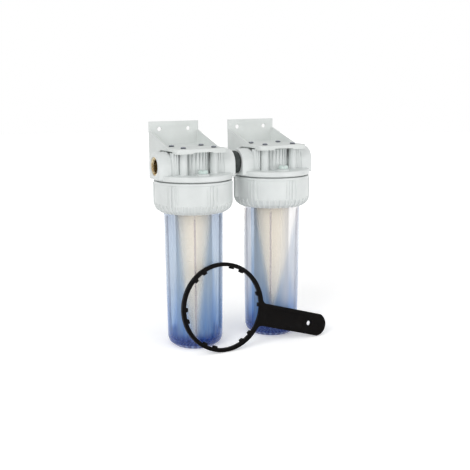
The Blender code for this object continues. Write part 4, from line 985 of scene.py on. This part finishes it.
drum_fin = fin(root=0.0230, reach=0.0268, high=HEAD_TOP - 0.0003, narrow=0.0010, wide=0.0034)
fins = [indexed(drum_fin, DRUM_FINS, head_white)]
for side in (-1, 1):
    for away in NECK_FIN_PLACES:
        for face in (-90, 90):
            bar = fin(NECK_FIN_ROOT, NECK_RADIUS + 0.0002, high=HEAD_TOP - 0.0016, narrow=0.0015, wide=0.0023)
            web = fin(NECK_FIN_ROOT, NECK_RADIUS - 0.0008, high=HEAD_TOP - 0.0090, narrow=0.0021, wide=0.0022)
            fins += [moved(form, (side * away, 0, 0), turn=face) for form in (bar, web)]
thread = helix(root=SKIRT_RADIUS - 0.0006, crest=SKIRT_RADIUS + 0.0018, base=THREAD_BASE,
               start=SKIRT_FOOT + THREAD_PITCH, turns=2.5, pitch=THREAD_PITCH, steps=THREAD_STEPS)
head_shape = joined([head_shape, thread] + fins)
for side, x in AXIS_X.items():
    piece(f"{side}_head_moulding", moved(head_shape.copy(), (x, 0, 0)), head_white, "filter_body",
          [f"{side}_head"])
head_shape.free()

# %% [markdown]
# ## Ring nuts
#
# The nut pulls the bowl's rim up against the head. Six double lugs stand proud for the spanner. Below them the
# nut closes in to a shoulder with forty fine ribs for the hand, and a plain band runs round its top. The ribs
# follow the turned profile, so each is lofted on it once at -Y and then indexed round.

# %% A rib that follows a turned profile
RIB_SINK, RIB_SKIN = 0.0010, 0.0002      # depth of a rib's root, and how far its faded end dips under the skin


def skin_radius(profile, height):
    """The outer radius of a profile at a height."""
    found = 0.0
    for (r0, z0), (r1, z1) in zip(profile, profile[1:] + profile[:1]):
        if min(z0, z1) <= height <= max(z0, z1) and abs(z1 - z0) > 1e-9:
            found = max(found, r0 + (r1 - r0) * (height - z0) / (z1 - z0))
    return found


def upright_rib(profile, low, high, width, rise, fade_low=0.0, fade_high=0.0, steps=16):
    """A rib up the outside of a turned form at -Y, its crest round, fading over a share of either end."""
    rings = []
    for k in range(steps + 1):
        share = k / steps
        height = low + (high - low) * share
        fade = 1.0
        if fade_low and share < fade_low:
            fade = math.sin(math.pi / 2 * share / fade_low)
        if fade_high and share > 1 - fade_high:
            fade = min(fade, math.sin(math.pi / 2 * (1 - share) / fade_high))
        skin = skin_radius(profile, height)
        up = (rise + RIB_SKIN) * fade - RIB_SKIN
        across = [(-0.5, -RIB_SINK), (-0.5, 0.25 * up), (-0.36, 0.85 * up), (-0.16, up),
                  (0.16, up), (0.36, 0.85 * up), (0.5, 0.25 * up), (0.5, -RIB_SINK)]
        rings.append([(width * s, -(skin + r), height) for s, r in across])
    return loft(rings)


rib = upright_rib([(1, 0), (1, 1)], 0, 1, 0.1, 0.1)
print("faces of one rib:", len(rib.faces))
rib.free()

# %% Ring nuts
NUT_TOP, NUT_SEAT, NUT_THREAD_CREST = 0.2752, 0.2327, 0.0572
NUT_BORE, NUT_OPENING, NUT_PANEL, NUT_BAND = 0.0584, 0.0494, 0.0628, 0.0009
NUT_TURN = {"left": -5.0, "right": -2.0}                     # degrees, where a lug faces
LUGS, LUG_SPREAD, FRAME_SPREAD, FINE_RIBS = 6, 2.8, 21.5, 40   # spreads in degrees to each side of the middle

nut_profile = rounded([
    (NUT_BORE, NUT_TOP, 0.0004), (NUT_PANEL + NUT_BAND, NUT_TOP, 0.0009),
    (NUT_PANEL + NUT_BAND, NUT_TOP - 0.0034, 0.0005), (NUT_PANEL, NUT_TOP - 0.0044, 0.0006),
    (NUT_PANEL, 0.2385, 0.0080), (0.0592, 0.22996, 0.0060), (0.0516, NUT_FOOT, 0.0010),
    (NUT_OPENING, NUT_FOOT, 0.0005), (NUT_OPENING, NUT_SEAT, 0.0004), (NUT_BORE, NUT_SEAT, 0.0012)], steps=6)


def nut_mesh(facing):
    """A ring nut on the Z axis, one of its lugs facing degrees round from -Y."""
    parts = [turned(nut_profile, 144)]
    for way in (-1, 1):
        lug = upright_rib(nut_profile, NUT_FOOT + 0.0022, NUT_TOP - 0.0036, width=0.0036, rise=0.0019,
                          fade_low=0.30, steps=24)
        parts.append(indexed(lug, LUGS, head_white, start=facing + LUG_SPREAD * way))
    fine = upright_rib(nut_profile, NUT_FOOT + 0.0002, 0.2410, width=0.0036, rise=0.0021, fade_high=0.25, steps=12)
    parts.append(indexed(fine, FINE_RIBS, head_white, start=facing))
    for way in (-1, 1):
        line = upright_rib(nut_profile, 0.2402, NUT_TOP - 0.0048, width=0.0017, rise=0.0010,
                           fade_low=0.1, fade_high=0.1, steps=6)
        parts.append(indexed(line, LUGS, head_white, start=facing + 180 / LUGS + FRAME_SPREAD * way))
    parts.append(helix(root=NUT_BORE + 0.0006, crest=NUT_THREAD_CREST, base=THREAD_BASE,
                       start=SKIRT_FOOT + THREAD_PITCH * 1.5, turns=1.5, pitch=THREAD_PITCH, steps=THREAD_STEPS))
    return joined(parts)


for side, x in AXIS_X.items():
    piece(f"{side}_nut_moulding", moved(nut_mesh(-NUT_TURN[side]), (x, 0, 0)), head_white, f"{side}_nut_body",
          [f"{side}_ring_nut"])

# %% [markdown]
# ## Bowls
#
# Each bowl is clear plastic with a 4 mm wall, drafted so that it leaves its mould. Its rim carries the seal
# in a groove, its foot is a ring with a dished middle, and four low ribs inside keep the cartridge upright. The
# wall has two real faces, because its plastic is read by how deep a point lies in it.

# %% Bowls
GROOVE_OUTER, GROOVE_INNER, GROOVE_FLOOR = 0.0542, 0.0502, 0.2380
RIB_HALF, RIB_OUT, RIB_IN, RIB_TOP = 0.0013, 0.0433, 0.0392, 0.2170
RIB_OUT_LEAN, RIB_IN_LEAN = 0.0024, 0.0026      # how far a rib's head leans out with the wall
BOWL_RIBS, SPIGOT_RADIUS, SPIGOT_TOP = 4, 0.0115, 0.0200

bowl_profile = rounded([
    (0, 0.0040, 0), (0.0256, 0.0040, 0.0020), (0.0298, 0.0, 0.0012), (0.0358, 0.0, 0.0030),
    (0.0438, 0.0070, 0.0050), (BOWL_BASE, BOWL_HEEL, 0.0060), (BOWL_TOP, RIM_UNDERSIDE, 0.0008),
    (RIM_RADIUS, RIM_UNDERSIDE, 0.0008), (RIM_RADIUS, RIM_TOP, 0.0008), (GROOVE_OUTER, RIM_TOP, 0.0003),
    (GROOVE_OUTER, GROOVE_FLOOR, 0.0004), (GROOVE_INNER, GROOVE_FLOOR, 0.0004), (GROOVE_INNER, RIM_TOP, 0.0003),
    (0.0448, RIM_TOP, 0.0008), (0.0446, RIM_UNDERSIDE, 0.0030), (0.0418, 0.0160, 0.0050),
    (0.0378, 0.0120, 0.0040), (0.0118, 0.0120, 0.0008), (SPIGOT_RADIUS, SPIGOT_TOP, 0.0010), (0, SPIGOT_TOP, 0)],
    closed=False, steps=6)

for side, x in AXIS_X.items():
    bowl = turned(bowl_profile, 128, closed=False)
    rib = prism([(-RIB_HALF, -RIB_OUT), (RIB_HALF, -RIB_OUT), (RIB_HALF, -RIB_IN), (-RIB_HALF, -RIB_IN)],
                SPIGOT_TOP, RIB_TOP)
    for vert in rib.verts:
        if vert.co.z > RIB_TOP / 2:
            vert.co.y -= RIB_OUT_LEAN if vert.co.y < -(RIB_OUT + RIB_IN) / 2 else RIB_IN_LEAN
    ribs = indexed(softened(rib, 0.0005), BOWL_RIBS, bowl_blue[side], start=-BOWL_TURN[side])
    piece(f"{side}_bowl_moulding", moved(joined([bowl, ribs]), (x, 0, 0)), bowl_blue[side],
          f"{side}_bowl_body", [f"{side}_bowl"], sharp=50)

# %% [markdown]
# ## Cartridges
#
# In each bowl stands a cartridge of 250 mm: a tube of spun fibre on a plastic core, with a soft gasket at each
# end that seals on the bowl's spigot and on the head's nozzle. The fibre's surface is slightly uneven: it has the
# spiral of the winding and shallow loose places, so its rings are placed point by point. The core, the gaskets
# and the seals keep their CAD solids, whose shape is right, and get a finish of their own.

# %% Cartridges and seals
FELT_RADIUS, FELT_BORE = 0.0297, 0.0158
SPIRAL_PITCH, SPIRAL_DEPTH = 0.0042, 0.00018
LOOSE_DEPTH, END_EASE = 0.00012, 0.0006
ROWS, STEPS = 200, 72


def felt_ring(height, radius_at):
    """A ring of points at a height, its radius given for each angle."""
    angles = [2 * math.pi * i / STEPS for i in range(STEPS)]
    return [(radius_at(a) * math.cos(a), radius_at(a) * math.sin(a), height) for a in angles]


def felt_mesh(low, high):
    """A tube of spun fibre from low to high."""
    rings = []
    for k in range(ROWS + 1):
        height = low + (high - low) * k / ROWS
        end = END_EASE if k in (0, ROWS) else 0.0

        def uneven(angle):
            spiral = math.sin(2 * math.pi * (height / SPIRAL_PITCH) - angle) * SPIRAL_DEPTH
            loose = math.sin(5 * angle + height * 190) * math.sin(3 * angle - height * 310) * LOOSE_DEPTH
            return FELT_RADIUS + spiral + loose - end
        rings.append(felt_ring(height, uneven))
    return loft(rings + [felt_ring(height, lambda angle: FELT_BORE) for height in (high, low)], closed=True)


for side, x in AXIS_X.items():
    low, high = (corner.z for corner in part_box(f"{side}_cartridge_media"))
    piece(f"{side}_media_felt", moved(felt_mesh(low, high), (x, 0, 0)), media_felt, f"{side}_bowl_body",
          [f"{side}_cartridge_media"], sharp=60)
    for part, paint in (("cartridge_core", core_white), ("cartridge_lower_gasket", gasket_white),
                        ("cartridge_upper_gasket", gasket_white), ("bowl_seal", rubber), ("vent_seal", rubber),
                        ("coupling_seal", rubber)):
        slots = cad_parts[f"{side}_{part}"].data.materials
        slots.clear()
        slots.append(paint)
print("cartridge height, mm:", round((high - low) / MM, 1))

# %% [markdown]
# ## Wall brackets
#
# Each bracket is one moulding: a plate with two holes for the wall, a shelf on the head's columns with a lip round
# its front, and a gusset at each side. The CAD solid has all of that with sharp edges. So a copy of it gets its
# edges eased, so that they catch the light.

# %% Wall brackets
EDGE_WIDTH, EDGE_STEPS = 0.0005, 3


def cad_copy(node):
    """The CAD node's mesh, its loose triangles joined."""
    bm = bmesh.new()
    bm.from_mesh(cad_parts[node].data)
    bmesh.ops.remove_doubles(bm, verts=bm.verts, dist=5e-6)
    return bm


for side in AXIS_X:
    bracket = softened(cad_copy(f"{side}_bracket"), EDGE_WIDTH, EDGE_STEPS)
    piece(f"{side}_bracket_moulding", bracket, bracket_white, "filter_body",
          [f"{side}_bracket"])

# %% [markdown]
# ## Screws
#
# Four cross-recessed pan-head screws hold each shelf down on the columns. They are zinc-plated steel. The cross
# is two tapered arms cut from the head, as its punch does, and each screw stopped at its own angle.

# %% Screws
SHELF_TOP, SCREW_GAP = 0.3275, 0.0003
FIRST_TURN, NEXT_TURN = 17, 31      # degrees
SHANK_FOOT = -0.0152


def screw_mesh():
    """One screw, its head's seat at 0 and its shank towards -Z."""
    head = spindle([(0, 0), (0.0042, 0, 0.0002), (0.0042, 0.0016, 0.0010), (0.0030, 0.0028, 0.0008), (0, 0.0028)],
                   40)
    arms = []
    for turn in (0, 90):
        arm = loft([[(-x, -y, z), (x, -y, z), (x, y, z), (-x, y, z)]
                    for x, y, z in ((0.0011, 0.0004, 0.0011), (0.0025, 0.0006, 0.0032))])
        arms.append(moved(arm, turn=turn))
    head = united(head, arms, "DIFFERENCE")
    shank = spindle([(0, -0.0166), (0.0014, SHANK_FOOT), (0.0016, 0.0004), (0, 0.0004)], 20)
    thread = helix(root=0.0014, crest=0.0020, base=0.0009, start=SHANK_FOOT, turns=8, pitch=0.0018, steps=16)
    return joined([head, shank, thread])


shape = screw_mesh()
names = ("front_a", "front_b", "rear_a", "rear_b")
for side, x in AXIS_X.items():
    for number, (name, (dx, dy)) in enumerate(zip(names, COLUMNS)):
        copy = moved(shape.copy(), (x + dx, dy, SHELF_TOP + SCREW_GAP), turn=FIRST_TURN + NEXT_TURN * number)
        piece(f"{side}_screw_{name}", copy, zinc, "filter_body", [f"{side}_bracket_screw_{name}"])
shape.free()

# %% [markdown]
# ## Brass inserts
#
# Each port has a brass sleeve moulded in, with a G 3/4 thread inside: its ridges are 1.8 mm apart. The mouth is
# chamfered so that a fitting starts easily, and a waist round its outside keeps it in the plastic.

# %% Brass inserts
INSERT_BORE, INSERT_WAIST, PIPE_PITCH = 0.0121, 0.0135, 0.0018


def insert_mesh():
    """One sleeve along +Z, its mouth at 0."""
    sleeve = turned(rounded([
        (INSERT_BORE, 0.0008, 0.0003), (0.0131, 0, 0.0002), (INSERT_RADIUS, 0, 0.0004),
        (INSERT_RADIUS, 0.0060, 0.0003), (INSERT_WAIST, 0.0060, 0.0003), (INSERT_WAIST, 0.0120, 0.0003),
        (INSERT_RADIUS, 0.0120, 0.0003), (INSERT_RADIUS, INSERT_LENGTH, 0.0004),
        (INSERT_BORE, INSERT_LENGTH, 0.0003)]), 72)
    thread = helix(root=0.0123, crest=0.0114, base=0.0017, start=0.0022, turns=7.5, pitch=PIPE_PITCH, steps=48)
    return joined([sleeve, thread])


shape = insert_mesh()
for side, x in AXIS_X.items():
    for port, way in (("inlet", -1), ("outlet", 1)):
        face = x + way * (PORT_REACH - INSERT_RECESS)
        copy = moved(moved(shape.copy(), turn=-way * 90, axis="Y"), (face, 0, PORT_HEIGHT))
        piece(f"{side}_{port}_brass", copy, brass, "filter_body", [f"{side}_{port}_insert"])
shape.free()

# %% [markdown]
# ## Joint between the housings
#
# A short nipple with a collar joins the two inner ports. Only the collar's dark edge shows, with fine ribs that a
# hand can grip.

# %% Joint between the housings
JOINT_BORE, JOINT_RADIUS, JOINT_TIP = 0.0085, 0.0117, 0.0112
COLLAR_RADIUS, COLLAR_HALF, GRIP_HALF, GRIPS = 0.0188, 0.0043, 0.0030, 36

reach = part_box("coupling_nipple")[1].x
joint = turned(rounded([
    (JOINT_BORE, -reach, 0.0004), (JOINT_TIP, -reach, 0.0006), (JOINT_RADIUS, -reach + 0.0012, 0.0004),
    (JOINT_RADIUS, -COLLAR_HALF, 0.0003), (COLLAR_RADIUS, -COLLAR_HALF, 0.0009),
    (COLLAR_RADIUS, COLLAR_HALF, 0.0009), (JOINT_RADIUS, COLLAR_HALF, 0.0003),
    (JOINT_RADIUS, reach - 0.0012, 0.0004), (JOINT_TIP, reach, 0.0006), (JOINT_BORE, reach, 0.0004)]), 80)
grip = upright_rib([(COLLAR_RADIUS, -COLLAR_HALF), (COLLAR_RADIUS, COLLAR_HALF)], -GRIP_HALF, GRIP_HALF,
                   width=0.0016, rise=0.0002, steps=4)
joint = moved(joined([joint, indexed(grip, GRIPS, joint_grey)]), turn=90, axis="Y")
piece("joint_moulding", moved(joint, (0, 0, PORT_HEIGHT)), joint_grey, "filter_body",
      ["coupling_nipple"])

# %% [markdown]
# ## Vents
#
# A small knob on each flange lets the air out when the bowl fills. A slot takes a coin, and the flutes a finger.

# %% Vents
KNOB_HEIGHT, FLUTES, SLOT_FACES = 0.0056, 20, 62      # SLOT_FACES in degrees


def vent_mesh():
    """One vent screw, its knob's seat at 0 and its stem towards -Z."""
    knob = spindle([(0, 0), (0.0076, 0, 0.0005), (0.0078, 0.0020, 0.0004), (0.0074, 0.0048, 0.0010),
                    (0.0058, KNOB_HEIGHT, 0.0010), (0.0050, 0.0049, 0.0006), (0, 0.0047)], 64)
    slot = prism([(-0.010, -0.0008), (0.010, -0.0008), (0.010, 0.0008), (-0.010, 0.0008)], 0.0036, 0.0080)
    knob = united(knob, [slot], "DIFFERENCE")
    flute = upright_rib([(0.0076, 0.0), (0.0076, 0.0044)], 0.0004, 0.0040, width=0.0011, rise=0.0003, steps=6)
    stem = spindle([(0, -0.0100), (0.0023, -0.0096), (0.0023, 0.0004), (0, 0.0004)], 24)
    return joined([knob, indexed(flute, FLUTES, vent_green), stem])


shape = vent_mesh()
for side, x in AXIS_X.items():
    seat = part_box(f"{side}_vent_screw")[1].z - KNOB_HEIGHT
    copy = moved(shape.copy(), (x, -VENT_OFFSET, seat), turn=SLOT_FACES)
    piece(f"{side}_vent_knob", copy, vent_green, f"{side}_vent_body", [f"{side}_vent_screw"])
shape.free()

# %% [markdown]
# ## Spanner
#
# The ring drops over the nut, and six pairs of teeth grip its lugs. It is one black moulding with a handle and a
# hole to hang it by. It stands on the ground and leans on the left bowl. The CAD solid has its whole shape, so a
# copy of it gets its edges eased.

# %% Spanner
TOOTH_EDGE = 30            # degrees; an edge sharper than this is rounded, the teeth's among them

spanner = softened(cad_copy("spanner"), EDGE_WIDTH, EDGE_STEPS, TOOTH_EDGE)
piece("spanner_moulding", spanner, spanner_black, "spanner_body", ["spanner"])
